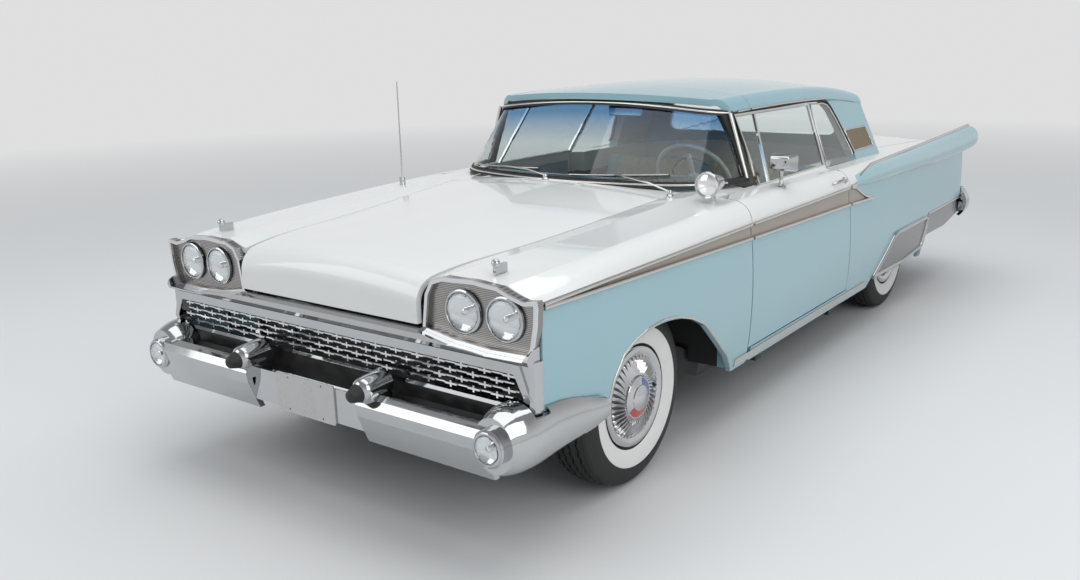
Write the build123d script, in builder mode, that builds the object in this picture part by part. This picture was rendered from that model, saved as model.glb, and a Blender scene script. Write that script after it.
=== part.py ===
from build123d import *
from math import asin, atan2, cos, hypot, radians, sin, sqrt
import os

os.makedirs("parts", exist_ok=True)

# A two-door hardtop coupe of the late 1950s, in millimetres
# Nose towards -Y, the driver's side (left) towards +X, the road at Z = 0

# Stance
WHEELBASE = 2997
FRONT_AXLE_Y = -1690
REAR_AXLE_Y = FRONT_AXLE_Y + WHEELBASE
FRONT_TRACK = 1499
REAR_TRACK = 1433
TYRE_R = 352
TYRE_WIDTH = 204
HUB_Z = TYRE_R

# Sheet metal
WALL = 22
SKIN = 12
SEAT_GAP = 0.3
PANEL_GAP = 7.5
WAIST_Z = 640
SILL_Z = 268
RIDGE_RUN = 95
WIDE = 1100
HIGH = 1600

# Body sections from nose to tail, half width each
# y, sill x, waist x, edge x, edge z, crown x, crown z, bow, cut x, cut z, ridge z, middle z
BODY_ROWS = [
    (-2440, 912, 934, 936, 890, 800, 926, -0.05, 465, 896, 930, 930),
    (-2060, 908, 937, 937, 888, 832, 950, 0.08, 512, 938, 952, 968),
    (-1500, 902, 940, 938, 890, 852, 974, 0.13, 556, 967, 978, 1004),
    (-1020, 897, 942, 938, 893, 862, 988, 0.13, 590, 998, 1004, 1030),
    (-300, 893, 943, 938, 893, 864, 988, 0.13, 600, 1002, 1004, 1034),
    (600, 893, 943, 936, 888, 862, 978, 0.13, 640, 990, 992, 1022),
    (1300, 895, 943, 936, 872, 862, 962, 0.13, 680, 976, 974, 1006),
    (2000, 902, 938, 932, 856, 858, 936, 0.13, 690, 944, 942, 974),
    (2440, 906, 930, 924, 846, 850, 900, 0.13, 690, 906, 906, 934),
]

# Where the panels part along the car
FENDER_FRONT_Y = -2392
TAIL_Y = 2428
DOOR_FRONT_Y = -922
DOOR_FRONT_LOW_Y = -872
DOOR_REAR_Y = 222
DOOR_REAR_LOW_Y = 316
DOOR_BREAK_Z = 800
DOOR_LOW_Z = 338
DOOR_INNER_X = 790
CABIN_HALF = DOOR_INNER_X - PANEL_GAP
HOOD_REAR_Y = -1078
HOOD_LOW_Z = 764
BULKHEAD_Y = 985
DECK_FRONT_Y = 1062
DECK_REAR_Y = 2372
DECK_HALF = 686
REAR_PANEL_Z = 545

# Hinges
DOOR_HINGE_X = 924
DOOR_HINGE_Y = -830
DOOR_HINGE_ZS = (640, 800)
DOOR_PIN_R = 4.5
PIN_FIT = 0.1
LID_HINGE_DROP = 9
LID_HINGE_BACK = 30
LID_HINGE_X = 150
LID_PIN_R = 5
LID_ARM_T = 6

# Wheels
RIM_R = 178
RIM_WIDTH = 150
COVER_R = 190
SPINDLE_R = 20
SPINDLE_FIT = 0.05
KINGPIN_X = FRONT_TRACK / 2 - 95
BALL_RISE = 130
BALL_PIN_R = 12

# Greenhouse
GLASS_BASE_X = 800
GLASS_BASE_Z = 990
GLASS_TOP_X = 655
GLASS_TOP_Z = 1310
PANE = 5
ROOF_WALL = 30

# Frame and floor
RAIL_W = 60
RAIL_H = 100
# Rail centres, as x and z, ahead of the cabin, beside it and behind it, and where the first bend runs
RAIL_FRONT = (400, 430)
RAIL_MID = (690, 249.7)
RAIL_REAR = (530, 470)
RAIL_BEND_YS = (-1280, -960)
FLOOR_Z = 300
REAR_FLOOR_Z = 525
SHEET = 16

# Steering
COLUMN_X = 390
COLUMN_TILT = 28
WHEEL_HUB_Y = -424
WHEEL_HUB_Z = 976
STEERING_WHEEL_R = 205


# Plain prisms and blocks that the panels are cut with
def block(x, y, z):
    """A block between two corners, each span given as a pair."""
    with BuildPart() as solid:
        with Locations(((x[0] + x[1]) / 2, (y[0] + y[1]) / 2, (z[0] + z[1]) / 2)):
            Box(x[1] - x[0], y[1] - y[0], z[1] - z[0])
    return solid.part


def side_prism(points, x):
    """A prism across the car over an outline of (y, z) points."""
    with BuildPart() as solid:
        with BuildSketch(Plane.YZ.offset(x[0])):
            with BuildLine():
                Polyline(*points, close=True)
            make_face()
        extrude(amount=x[1] - x[0])
    return solid.part


def plan_prism(points, z):
    """An upright prism over an outline of (x, y) points."""
    with BuildPart() as solid:
        with BuildSketch(Plane.XY.offset(z[0])):
            with BuildLine():
                Polyline(*points, close=True)
            make_face()
        extrude(amount=z[1] - z[0])
    return solid.part


def shoulder_mid(edge, crown, bow):
    """The point that bows the shoulder out between body side and fender top."""
    rise = bow * hypot(edge[0] - crown[0], crown[1] - edge[1])
    return ((edge[0] + crown[0]) / 2 + rise, (edge[1] + crown[1]) / 2 + rise)


def dome_mid(radius, rise, base):
    """The point midway along a spherical dome's profile, from its rim to its top."""
    sphere_r = (radius**2 + rise**2) / (2 * rise)
    half_angle = asin(radius / sphere_r) / 2
    return (sphere_r * sin(half_angle), base + rise - sphere_r * (1 - cos(half_angle)))


def body_form(inset):
    """The whole lower body as one closed form, drawn in by an inset."""
    with BuildPart() as form:
        for row in BODY_ROWS:
            y, sill_x, waist_x, edge_x, edge_z, crown_x, crown_z, bow, cut_x, cut_z, ridge_z, mid_z = row
            sill = (sill_x - inset, SILL_Z - 20)
            waist = (waist_x - inset, WAIST_Z)
            edge = (edge_x - inset, edge_z)
            crown = (crown_x - inset / 2, crown_z - inset)
            ridge = (cut_x + RIDGE_RUN, ridge_z - inset)
            cut = (cut_x, cut_z - inset)
            with BuildSketch(Plane.XZ.offset(-y)):
                with BuildLine():
                    ThreePointArc(sill, waist, edge)
                    ThreePointArc(edge, shoulder_mid(edge, crown, bow), crown)
                    Line(crown, ridge)
                    Line(ridge, cut)
                    mirror(about=Plane.YZ)
                    ThreePointArc(cut, (0, mid_z - inset), (-cut[0], cut[1]))
                    Line(sill, (-sill[0], sill[1]))
                make_face()
        loft()
    return form.part


body_outer = body_form(0)
body_inner = body_form(WALL)
body_middle = body_form(WALL / 2)

# Side outline of the door opening, with its leading and trailing edges
DOOR_OUTLINE = [
    (DOOR_FRONT_LOW_Y, DOOR_LOW_Z),
    (DOOR_FRONT_Y, DOOR_BREAK_Z),
    (DOOR_FRONT_Y, HIGH),
    (DOOR_REAR_Y, HIGH),
    (DOOR_REAR_Y, DOOR_BREAK_Z),
    (DOOR_REAR_LOW_Y, DOOR_LOW_Z),
]
DOOR_HOLE = [
    (DOOR_FRONT_LOW_Y - PANEL_GAP, DOOR_LOW_Z - PANEL_GAP),
    (DOOR_FRONT_Y - PANEL_GAP, DOOR_BREAK_Z),
    (DOOR_FRONT_Y - PANEL_GAP, HIGH),
    (DOOR_REAR_Y + PANEL_GAP, HIGH),
    (DOOR_REAR_Y + PANEL_GAP, DOOR_BREAK_Z),
    (DOOR_REAR_LOW_Y + PANEL_GAP, DOOR_LOW_Z - PANEL_GAP),
]

# The spear: a shallow band let into the side, from the brow's tip to behind the door
SPEAR_DEPTH = 6
SPEAR_OUTLINE = [
    (FENDER_FRONT_Y - 100, 886),
    (FENDER_FRONT_Y, 886),
    (DOOR_FRONT_Y, 893),
    (230, 893),
    (330, 880),
    (558, 795),
    (DOOR_REAR_Y, 810),
    (DOOR_FRONT_Y, 838),
    (FENDER_FRONT_Y, 878),
]
with BuildPart() as spear:
    add(side_prism(SPEAR_OUTLINE, (800, WIDE)))
    add(body_form(SPEAR_DEPTH), mode=Mode.SUBTRACT)
    mirror(about=Plane.YZ)

# Hood, cut from the body form, its upright face rounded over into the top
HOOD_WALL = 20
BROW_R = 90
NOSE_Y = BODY_ROWS[0][0]
COWL_Y = HOOD_REAR_Y + PANEL_GAP
hood_cuts = [(row[8], min(row[0], HOOD_REAR_Y)) for row in BODY_ROWS[0:4]]
lid_hinge_z = 1028 - LID_HINGE_DROP


def hood_block(form, inset, margin):
    """A piece of the body form between the hood's cut lines, its brow rounded."""
    front = NOSE_Y + inset
    ahead = [(x - PANEL_GAP + margin, max(y, front)) for x, y in hood_cuts]
    ahead[-1] = (ahead[-1][0], HOOD_REAR_Y + margin)
    outline = ahead + [(-x, y) for x, y in reversed(ahead)]
    with BuildPart() as solid:
        add(form)
        add(plan_prism(outline, (HOOD_LOW_Z - margin, HIGH)), mode=Mode.INTERSECT)
        brow = solid.edges().filter_by_position(Axis.Y, front - 1, front + 1).sort_by(Axis.Z)[-1]
        fillet(brow, BROW_R - inset)
    return solid.part


hood_void = hood_block(body_form(HOOD_WALL), HOOD_WALL, 5)
with BuildPart() as hood:
    add(hood_block(body_outer, 0, 0))
    add(hood_void, mode=Mode.SUBTRACT)
    for side in (-1, 1):
        # Hinge arm in a notch of the rear edge, and its cross pin behind the edge
        notch_x = (side * LID_HINGE_X - 15, side * LID_HINGE_X + 15)
        add(block(notch_x, (HOOD_REAR_Y - 20, HOOD_REAR_Y + 2), (800, HIGH)), mode=Mode.SUBTRACT)
        with Locations((side * LID_HINGE_X, HOOD_REAR_Y + (LID_HINGE_BACK - 36) / 2, lid_hinge_z)):
            Box(24, LID_HINGE_BACK + 36, LID_ARM_T)
        with BuildSketch(Plane.YZ.offset(side * LID_HINGE_X)):
            with Locations((HOOD_REAR_Y + LID_HINGE_BACK, lid_hinge_z)):
                Circle(LID_PIN_R)
        extrude(amount=30, both=True)
hood.part.label = "hood"
export_step(hood.part, "parts/hood.step")

# Front wheel arch, seen from the side
ARCH_TOP_Z = 652
with BuildPart() as arch:
    with BuildSketch(Plane.YZ.offset(600)):
        with BuildLine():
            Line((-2060, 200), (-2012, 446))
            ThreePointArc((-2012, 446), (-1930, 588), (-1770, 645))
            ThreePointArc((-1770, 645), (-1560, ARCH_TOP_Z - 12), (-1326, 553))
            Polyline((-1326, 553), (-1092, 358), (-1023, 278), (-1000, 200), (-2060, 200))
        make_face()
    extrude(amount=WIDE - 600)

# Front fenders with their inner aprons and splash walls
APRON_X = 452
SPLASH_Y = -1012
FENDER_REAR = [(DOOR_HOLE[1][0], HIGH), DOOR_HOLE[1], DOOR_HOLE[0], (DOOR_HOLE[0][0] + 4, SILL_Z)]
fender_side = [(FENDER_FRONT_Y, HIGH)] + FENDER_REAR
fender_side = fender_side + [(-1040, SILL_Z), (-2040, 430), (FENDER_FRONT_Y, REAR_PANEL_Z)]
fender_plan = [(hood_cuts[0][0], -2600)] + hood_cuts[1:3] + [(hood_cuts[3][0], COWL_Y)]
fender_plan = fender_plan + [(CABIN_HALF, -960), (CABIN_HALF, -840), (WIDE, -840), (WIDE, -2600)]
apron_side = [(-2380, 560), (-2380, 840), (SPLASH_Y, 872), (SPLASH_Y, 496), (-2060, 496)]

# The frame rail passes under the splash wall on its way out to the sill
RAIL_NOTCH = 62
bend_share = (SPLASH_Y - SKIN / 2 - RAIL_BEND_YS[0]) / (RAIL_BEND_YS[1] - RAIL_BEND_YS[0])
notch_x = RAIL_FRONT[0] + bend_share * (RAIL_MID[0] - RAIL_FRONT[0])
notch_z = RAIL_FRONT[1] + bend_share * (RAIL_MID[1] - RAIL_FRONT[1]) + RAIL_NOTCH + 10

with BuildPart() as liners:
    add(side_prism(apron_side, (APRON_X, APRON_X + SKIN)))
    add(block((APRON_X, WIDE), (SPLASH_Y - SKIN, SPLASH_Y), (SILL_Z + SKIN, HIGH)))
    notch_span = (notch_x - RAIL_NOTCH, notch_x + RAIL_NOTCH)
    add(block(notch_span, (SPLASH_Y - SKIN - 1, SPLASH_Y + 1), (0, notch_z)), mode=Mode.SUBTRACT)
    add(body_middle, mode=Mode.INTERSECT)
    add(block((0, CABIN_HALF + SEAT_GAP), (-1100, -900), (880 - SEAT_GAP, HIGH)), mode=Mode.SUBTRACT)
with BuildPart() as fender_left:
    add(body_outer)
    add(body_inner, mode=Mode.SUBTRACT)
    add(side_prism(fender_side, (300, WIDE)), mode=Mode.INTERSECT)
    add(plan_prism(fender_plan, (SILL_Z - 10, HIGH)), mode=Mode.INTERSECT)
    add(arch.part, mode=Mode.SUBTRACT)
    add(spear.part, mode=Mode.SUBTRACT)
    add(liners.part)
fender_left.part.label = "fender_left"
export_step(fender_left.part, "parts/fender_left.step")
with BuildPart() as fender_right:
    mirror(fender_left.part, about=Plane.YZ)
fender_right.part.label = "fender_right"
export_step(fender_right.part, "parts/fender_right.step")

# Tail fin: the bulge that starts at the door's rear edge and ends as a jet tube
# y, crease x, crease z, bulge x, bulge z, edge x, edge z, foot x, foot z
FIN_ROWS = [
    (330, 936, 893, 941, 905, 928, 918, 916, 896),
    (640, 938, 872, 962, 915, 905, 962, 862, 900),
    (1000, 938, 867, 968, 918, 900, 968, 850, 900),
    (1500, 937, 852, 971, 912, 900, 978, 845, 890),
    (2000, 934, 843, 972, 906, 901, 990, 845, 880),
    (2520, 930, 852, 972, 902, 904, 1006, 846, 862),
    (2612, 928, 856, 970, 902, 905, 1010, 850, 862),
]
with BuildPart() as fin:
    for y, crease_x, crease_z, bulge_x, bulge_z, edge_x, edge_z, foot_x, foot_z in FIN_ROWS:
        with BuildSketch(Plane.XZ.offset(-y)):
            with BuildLine():
                ThreePointArc((crease_x, crease_z), (bulge_x, bulge_z), (edge_x, edge_z))
                Polyline((edge_x, edge_z), (edge_x - 12, edge_z), (foot_x, foot_z), (crease_x, crease_z))
            make_face()
    loft()

# Body shell: cowl, sills, quarters, fins, bulkhead and tail panel
BULKHEAD = 24
WHEELHOUSE_R = 402
WHEELHOUSE_X = 578
SHELF_X = 700
TAIL_WALL = 22
LAMP_X = 790
LAMP_Z = 690
LAMP_R = 118
skirt_hole = [(582, 200), (1000, 521), (1060, 530), (1640, 530), (1662, 500), (1593, 200)]
shell_side = [(COWL_Y, HIGH), (TAIL_Y, HIGH), (TAIL_Y, REAR_PANEL_Z), (1664, REAR_PANEL_Z), (1664, SILL_Z)]
shell_front_y = DOOR_HOLE[0][0] + PANEL_GAP
shell_side = shell_side + [(shell_front_y, SILL_Z), (shell_front_y, 880), (COWL_Y, 880)]
screen_well = [(-725, -560), (-715, -700), (-640, -830), (-500, -925), (-260, -975), (0, -990)]
screen_well = screen_well + [(-x, y) for x, y in reversed(screen_well[:-1])]


def wheel_disc(radius, x):
    """A disc about the rear axle line between two distances from the middle."""
    with BuildPart() as solid:
        with BuildSketch(Plane.YZ.offset(x[0])):
            with Locations((REAR_AXLE_Y, HUB_Z)):
                Circle(radius)
        extrude(amount=x[1] - x[0])
    return solid.part


with BuildPart() as fins:
    add(fin.part)
    mirror(about=Plane.YZ)
with BuildPart() as rear_wells:
    add(wheel_disc(WHEELHOUSE_R, (500, WIDE)))
    mirror(about=Plane.YZ)
    add(body_inner, mode=Mode.INTERSECT)
with BuildPart() as wheelhouses:
    add(wheel_disc(WHEELHOUSE_R + SKIN, (WHEELHOUSE_X, CABIN_HALF + SKIN)))
    add(wheel_disc(WHEELHOUSE_R, (WHEELHOUSE_X + SKIN, CABIN_HALF + SKIN)), mode=Mode.SUBTRACT)
    add(block((500, WIDE), (REAR_AXLE_Y - 500, REAR_AXLE_Y + 500), (-100, REAR_FLOOR_Z)), mode=Mode.SUBTRACT)
    mirror(about=Plane.YZ)
with BuildPart() as trunk_room:
    add(block((-CABIN_HALF, CABIN_HALF), (BULKHEAD_Y + BULKHEAD, TAIL_Y - TAIL_WALL), (0, HIGH)))
    add(body_inner, mode=Mode.INTERSECT)

# Cowl between the fenders, as seen from above
cowl_plan = [(hood_cuts[3][0] - SEAT_GAP, COWL_Y), (CABIN_HALF - SEAT_GAP, -960), (CABIN_HALF, -840)]
cowl_plan = cowl_plan + [(WIDE, -840), (WIDE, 2600)]
cowl_plan = cowl_plan + [(-x, y) for x, y in reversed(cowl_plan)]

# Door posts inside the fenders, with the arms and eyes that carry the doors
POST_REAR_Y = DOOR_FRONT_Y - 13
JAMB = 26
EYE_R = 9
EYE_HALF = 9
with BuildPart() as posts:
    add(block((CABIN_HALF - JAMB, WIDE), (SPLASH_Y + SEAT_GAP, POST_REAR_Y), (SILL_Z + SKIN, 990)))
    jamb_run = (SPLASH_Y + SEAT_GAP, DOOR_HINGE_Y + 14)
    add(block((CABIN_HALF - JAMB, CABIN_HALF), jamb_run, (SILL_Z + SKIN, 900)))
    add(body_form(WALL + SEAT_GAP), mode=Mode.INTERSECT)
    for z in DOOR_HINGE_ZS:
        with Locations(((CABIN_HALF - 5 + DOOR_HINGE_X) / 2, DOOR_HINGE_Y, z)):
            Box(DOOR_HINGE_X - CABIN_HALF + 5, EYE_HALF * 2, EYE_HALF * 2)
        with Locations((DOOR_HINGE_X, DOOR_HINGE_Y, z)):
            Cylinder(EYE_R, EYE_HALF * 2)
            Cylinder(DOOR_PIN_R + PIN_FIT, EYE_HALF * 2, mode=Mode.SUBTRACT)
    mirror(about=Plane.YZ)

# Pockets and bores for the lids' hinge arms, in the cowl and in the strip behind the deck
deck_hinge_y = DECK_REAR_Y + LID_HINGE_BACK
deck_hinge_z = 938 - LID_HINGE_DROP
with BuildPart() as lid_bores:
    for edge_y, hinge_z in ((HOOD_REAR_Y, lid_hinge_z), (DECK_REAR_Y, deck_hinge_z)):
        for x in (-LID_HINGE_X, LID_HINGE_X):
            add(block((x - 19, x + 19), (edge_y, edge_y + LID_HINGE_BACK + 14), (hinge_z - 14, HIGH)))
            with BuildSketch(Plane.YZ.offset(x - 31)):
                with Locations((edge_y + LID_HINGE_BACK, hinge_z)):
                    Circle(LID_PIN_R + PIN_FIT)
            extrude(amount=62)

with BuildPart() as body_shell:
    add(body_outer)
    add(side_prism(shell_side, (-WIDE, WIDE)), mode=Mode.INTERSECT)
    add(plan_prism(cowl_plan, (0, HIGH)), mode=Mode.INTERSECT)
    add(fins.part)
    # Cabin, the well under the screen, and the luggage space
    add(block((-CABIN_HALF, CABIN_HALF), (-1010, BULKHEAD_Y), (0, 880)), mode=Mode.SUBTRACT)
    under_top = REAR_FLOOR_Z + SHEET + SEAT_GAP
    add(block((-CABIN_HALF, CABIN_HALF), (-1010, TAIL_Y - TAIL_WALL), (0, under_top)), mode=Mode.SUBTRACT)
    add(plan_prism(screen_well, (800, HIGH)), mode=Mode.SUBTRACT)
    add(block((-CABIN_HALF, CABIN_HALF), (-562, DOOR_HOLE[3][0]), (800, HIGH)), mode=Mode.SUBTRACT)
    add(block((-SHELF_X, SHELF_X), (100, BULKHEAD_Y), (800, HIGH)), mode=Mode.SUBTRACT)
    add(trunk_room.part, mode=Mode.SUBTRACT)
    deck_run = (DECK_FRONT_Y - PANEL_GAP, DECK_REAR_Y + PANEL_GAP)
    add(block((-DECK_HALF - PANEL_GAP, DECK_HALF + PANEL_GAP), deck_run, (800, HIGH)), mode=Mode.SUBTRACT)
    # Door openings and rear wheel openings
    add(side_prism(DOOR_HOLE, (CABIN_HALF, WIDE)), mode=Mode.SUBTRACT)
    add(side_prism(DOOR_HOLE, (-WIDE, -CABIN_HALF)), mode=Mode.SUBTRACT)
    add(rear_wells.part, mode=Mode.SUBTRACT)
    add(side_prism(skirt_hole, (840, WIDE)), mode=Mode.SUBTRACT)
    add(side_prism(skirt_hole, (-WIDE, -840)), mode=Mode.SUBTRACT)
    add(wheelhouses.part)
    add(posts.part)
    add(lid_bores.part, mode=Mode.SUBTRACT)
    add(spear.part, mode=Mode.SUBTRACT)
    with BuildSketch(Plane.XZ.offset(-TAIL_Y - 10)):
        with Locations((-LAMP_X, LAMP_Z), (LAMP_X, LAMP_Z)):
            Circle(LAMP_R)
    extrude(amount=TAIL_WALL + 20, mode=Mode.SUBTRACT)
body_shell.part.label = "body_shell"
export_step(body_shell.part, "parts/body_shell.step")

# Deck lid, hinged along its rear edge
DECK_WALL = 20
with BuildPart() as deck_lid:
    add(body_outer)
    add(block((-DECK_HALF, DECK_HALF), (DECK_FRONT_Y, DECK_REAR_Y), (800, HIGH)), mode=Mode.INTERSECT)
    add(body_form(DECK_WALL), mode=Mode.SUBTRACT)
    for x in (-LID_HINGE_X, LID_HINGE_X):
        add(block((x - 15, x + 15), (DECK_REAR_Y - 20, DECK_REAR_Y + 2), (800, HIGH)), mode=Mode.SUBTRACT)
        with Locations((x, DECK_REAR_Y + (LID_HINGE_BACK - 36) / 2, deck_hinge_z)):
            Box(24, LID_HINGE_BACK + 36, LID_ARM_T)
        with BuildSketch(Plane.YZ.offset(x)):
            with Locations((deck_hinge_y, deck_hinge_z)):
                Circle(LID_PIN_R)
        extrude(amount=30, both=True)
deck_lid.part.label = "deck_lid"
export_step(deck_lid.part, "parts/deck_lid.step")

# Doors: full thickness with a thin leading lip, a stepped rear face and a window frame
HINGE_FACE_Y = DOOR_HINGE_Y + 18
STEP_X = 880
STEP = 14
door_core = [
    (DOOR_FRONT_LOW_Y, DOOR_LOW_Z),
    (DOOR_FRONT_Y, DOOR_BREAK_Z),
    (DOOR_FRONT_Y, HIGH),
    (DOOR_REAR_Y - STEP, HIGH),
    (DOOR_REAR_Y - STEP, DOOR_BREAK_Z),
    (DOOR_REAR_LOW_Y - STEP, DOOR_LOW_Z),
]
lean = atan2(GLASS_BASE_X - GLASS_TOP_X, GLASS_TOP_Z - GLASS_BASE_Z)
glass_rise = (GLASS_TOP_Z - GLASS_BASE_Z) / cos(lean)
glass_plane = Plane(origin=(GLASS_BASE_X, 0, GLASS_BASE_Z), x_dir=(0, 1, 0), z_dir=(cos(lean), 0, sin(lean)))
FRAME_T = 14
window_frame = [(-564, -40), (-552, glass_rise), (306, glass_rise - 5), (216, -40)]
vent_pane = [(-552, 16), (-543, glass_rise - 12), (-356, glass_rise - 12), (-464, 16)]
door_pane = [(-448, 16), (-340, glass_rise - 12), (290, glass_rise - 17), (204, 16)]
quarter_pane = [(240, -4), (322, glass_rise - 6), (560, glass_rise - 28), (600, glass_rise - 120)]
quarter_pane = quarter_pane + [(648, 60), (650, -4)]


def pane(outline, thick, gap):
    """A flat piece on the leaning plane of the side glass, drawn in by a gap."""
    with BuildPart() as solid:
        with BuildSketch(glass_plane):
            with BuildLine():
                Polyline(*outline, close=True)
            make_face()
            if gap:
                offset(amount=-gap, kind=Kind.INTERSECTION)
        extrude(amount=thick / 2, both=True)
    return solid.part


# What lies ahead of the hinge stays within this distance of it, to swing clear of the cowl
SWING_R = DOOR_HINGE_X - CABIN_HALF - 5.5
corner_x = DOOR_HINGE_X - sqrt(SWING_R**2 - (DOOR_HINGE_Y - DOOR_FRONT_Y) ** 2)
swing_corner = [(700, DOOR_FRONT_Y - 1), (corner_x, DOOR_FRONT_Y - 1), (DOOR_HINGE_X - SWING_R, DOOR_HINGE_Y)]
swing_corner = swing_corner + [(700, DOOR_HINGE_Y)]

with BuildPart() as door_left:
    add(side_prism(DOOR_OUTLINE, (STEP_X, WIDE)))
    add(side_prism(door_core, (DOOR_INNER_X, STEP_X)))
    add(body_outer, mode=Mode.INTERSECT)
    hinge_space = block((700, WIDE), (DOOR_FRONT_Y - 60, HINGE_FACE_Y), (0, HIGH)) & body_inner
    add(hinge_space, mode=Mode.SUBTRACT)
    add(plan_prism(swing_corner, (900, HIGH)), mode=Mode.SUBTRACT)
    for z in DOOR_HINGE_ZS:
        # Pocket round the post's eye, then the two ears and the pin through it
        pocket = block((870, DOOR_HINGE_X + EYE_R + 5), (DOOR_HINGE_Y - 90, HINGE_FACE_Y), (z - 30, z + 30))
        add(pocket, mode=Mode.SUBTRACT)
        for ear_z in (z - EYE_HALF - SEAT_GAP - 6, z + EYE_HALF + SEAT_GAP + 6):
            with Locations((DOOR_HINGE_X - 2, DOOR_HINGE_Y + 12, ear_z)):
                Box(16, 36, 12)
        with Locations((DOOR_HINGE_X, DOOR_HINGE_Y, z)):
            Cylinder(DOOR_PIN_R, 2 * EYE_HALF + 24)
    add(spear.part, mode=Mode.SUBTRACT)
    frame_plate = pane(window_frame, FRAME_T, 0) - pane(vent_pane, 40, 0) - pane(door_pane, 40, 0)
    add(frame_plate)
door_left.part.label = "door_left"
export_step(door_left.part, "parts/door_left.step")
with BuildPart() as door_right:
    mirror(door_left.part, about=Plane.YZ)
door_right.part.label = "door_right"
export_step(door_right.part, "parts/door_right.step")

# Side glass
body_raised = body_outer.moved(Location((0, 0, SEAT_GAP)))
with BuildPart() as door_glass_left:
    add(pane(vent_pane, PANE, SEAT_GAP))
    add(pane(door_pane, PANE, SEAT_GAP))
door_glass_left.part.label = "door_glass_left"
export_step(door_glass_left.part, "parts/door_glass_left.step")
with BuildPart() as door_glass_right:
    mirror(door_glass_left.part, about=Plane.YZ)
door_glass_right.part.label = "door_glass_right"
export_step(door_glass_right.part, "parts/door_glass_right.step")
with BuildPart() as quarter_glass:
    add(pane(quarter_pane, PANE, 0))
    add(body_raised, mode=Mode.SUBTRACT)
    mirror(about=Plane.YZ)
quarter_glass.part.label = "quarter_glass"
export_step(quarter_glass.part, "parts/quarter_glass.step")

# Roof: crown, rear posts and rear panel; the front strip folds separately
# y, rail half, rail z, shoulder x, shoulder z, middle z
ROOF_ROWS = [
    (-760, 636, 1324, 560, 1368, 1402),
    (-300, 668, 1330, 590, 1390, 1432),
    (100, 672, 1330, 594, 1391, 1435),
    (560, 668, 1318, 590, 1376, 1422),
    (1042, 684, 1262, 600, 1316, 1362),
]
FLAP_Y = -400
FLAP_SEAM = 3


def roof_form(inset, drop):
    """The roof's crown as a closed form, drawn in by an inset and run down by a drop."""
    with BuildPart() as form:
        for y, rail_x, rail_z, shoulder_x, shoulder_z, mid_z in ROOF_ROWS:
            rail = (rail_x - inset, rail_z - drop)
            lift = (rail_x - inset, rail_z)
            shoulder = (shoulder_x, shoulder_z - inset)
            bow = shoulder_mid(lift, shoulder, 0.16)
            with BuildSketch(Plane.XZ.offset(-y)):
                with BuildLine():
                    Line(rail, lift)
                    ThreePointArc(lift, bow, shoulder)
                    mirror(about=Plane.YZ)
                    ThreePointArc(shoulder, (0, mid_z - inset), (-shoulder[0], shoulder[1]))
                    Line((-rail[0], rail[1]), rail)
                make_face()
        loft()
    return form.part


with BuildPart() as roof_plan:
    with BuildSketch(Plane.XY.offset(900)):
        with BuildLine():
            ThreePointArc((-700, -556), (0, -716), (700, -556))
            Polyline((700, -556), (840, -520), (840, 1042), (-840, 1042), (-840, -520), (-700, -556))
        make_face()
    extrude(amount=700)
post_side = [(560, HIGH), (560, 1290), (612, 1240), (668, 1030), (668, 900), (1042, 900), (1042, HIGH)]


def lean_wall(inner, outer, y):
    """A wall that follows the lean of the side glass, between two offsets from it."""
    with BuildPart() as solid:
        for z in (900, 1350):
            run = (z - GLASS_BASE_Z) * sin(lean) / cos(lean)
            x = GLASS_BASE_X - run
            with BuildSketch(Plane.XY.offset(z)):
                with Locations((x + (inner + outer) / 2, (y[0] + y[1]) / 2)):
                    Rectangle(outer - inner, y[1] - y[0])
        loft()
    return solid.part


REAR_GLASS_Y = (1018, 1024)
rear_opening = [(-560, 1072), (560, 1072), (520, 1278), (-520, 1278)]
with BuildPart() as rear_hole:
    with BuildSketch(Plane.XZ.offset(-900)):
        with BuildLine():
            Polyline(*rear_opening, close=True)
        make_face()
        fillet(vertices(), 45)
    extrude(amount=-300)
# Above this line the posts and the rear wall end inside the crown's wall
rail_line = [(400, 1322), (560, 1314), (1042, 1258), (1100, 1250), (1100, HIGH), (400, HIGH)]
with BuildPart() as roof:
    add(lean_wall(-52, 4, (400, 1040)))
    add(side_prism(post_side, (300, WIDE)), mode=Mode.INTERSECT)
    add(lean_wall(-820, 4, (1008, 1040)))
    add(side_prism(rail_line, (-WIDE, WIDE)) - roof_form(6, 420), mode=Mode.SUBTRACT)
    mirror(about=Plane.YZ)
    add(rear_hole.part, mode=Mode.SUBTRACT)
    crown = roof_form(0, 8) - roof_form(ROOF_WALL, 60)
    add(crown & block((-WIDE, WIDE), (FLAP_Y, 1042), (900, HIGH)))
    add(body_raised, mode=Mode.SUBTRACT)
roof.part.label = "roof"
export_step(roof.part, "parts/roof.step")
with BuildPart() as roof_flap:
    add(crown)
    add(roof_plan.part, mode=Mode.INTERSECT)
    add(block((-WIDE, WIDE), (-900, FLAP_Y - FLAP_SEAM), (900, HIGH)), mode=Mode.INTERSECT)
roof_flap.part.label = "roof_flap"
export_step(roof_flap.part, "parts/roof_flap.step")
with BuildPart() as rear_window:
    with BuildSketch(Plane.XZ.offset(-REAR_GLASS_Y[0])):
        with BuildLine():
            Polyline(*rear_opening, close=True)
        make_face()
        fillet(vertices(), 45)
        offset(amount=-SEAT_GAP)
    extrude(amount=REAR_GLASS_Y[0] - REAR_GLASS_Y[1])
rear_window.part.label = "rear_window"
export_step(rear_window.part, "parts/rear_window.step")

# Windscreen: three tangent arcs at the base and at the header, in a rubber and bright frame
# z, middle y, break x, break y, end x, end y
SCREEN_ROWS = [(950, -1098, 520, -1014, 776, -574), (1400, -674, 470, -640, 634, -556)]


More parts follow.
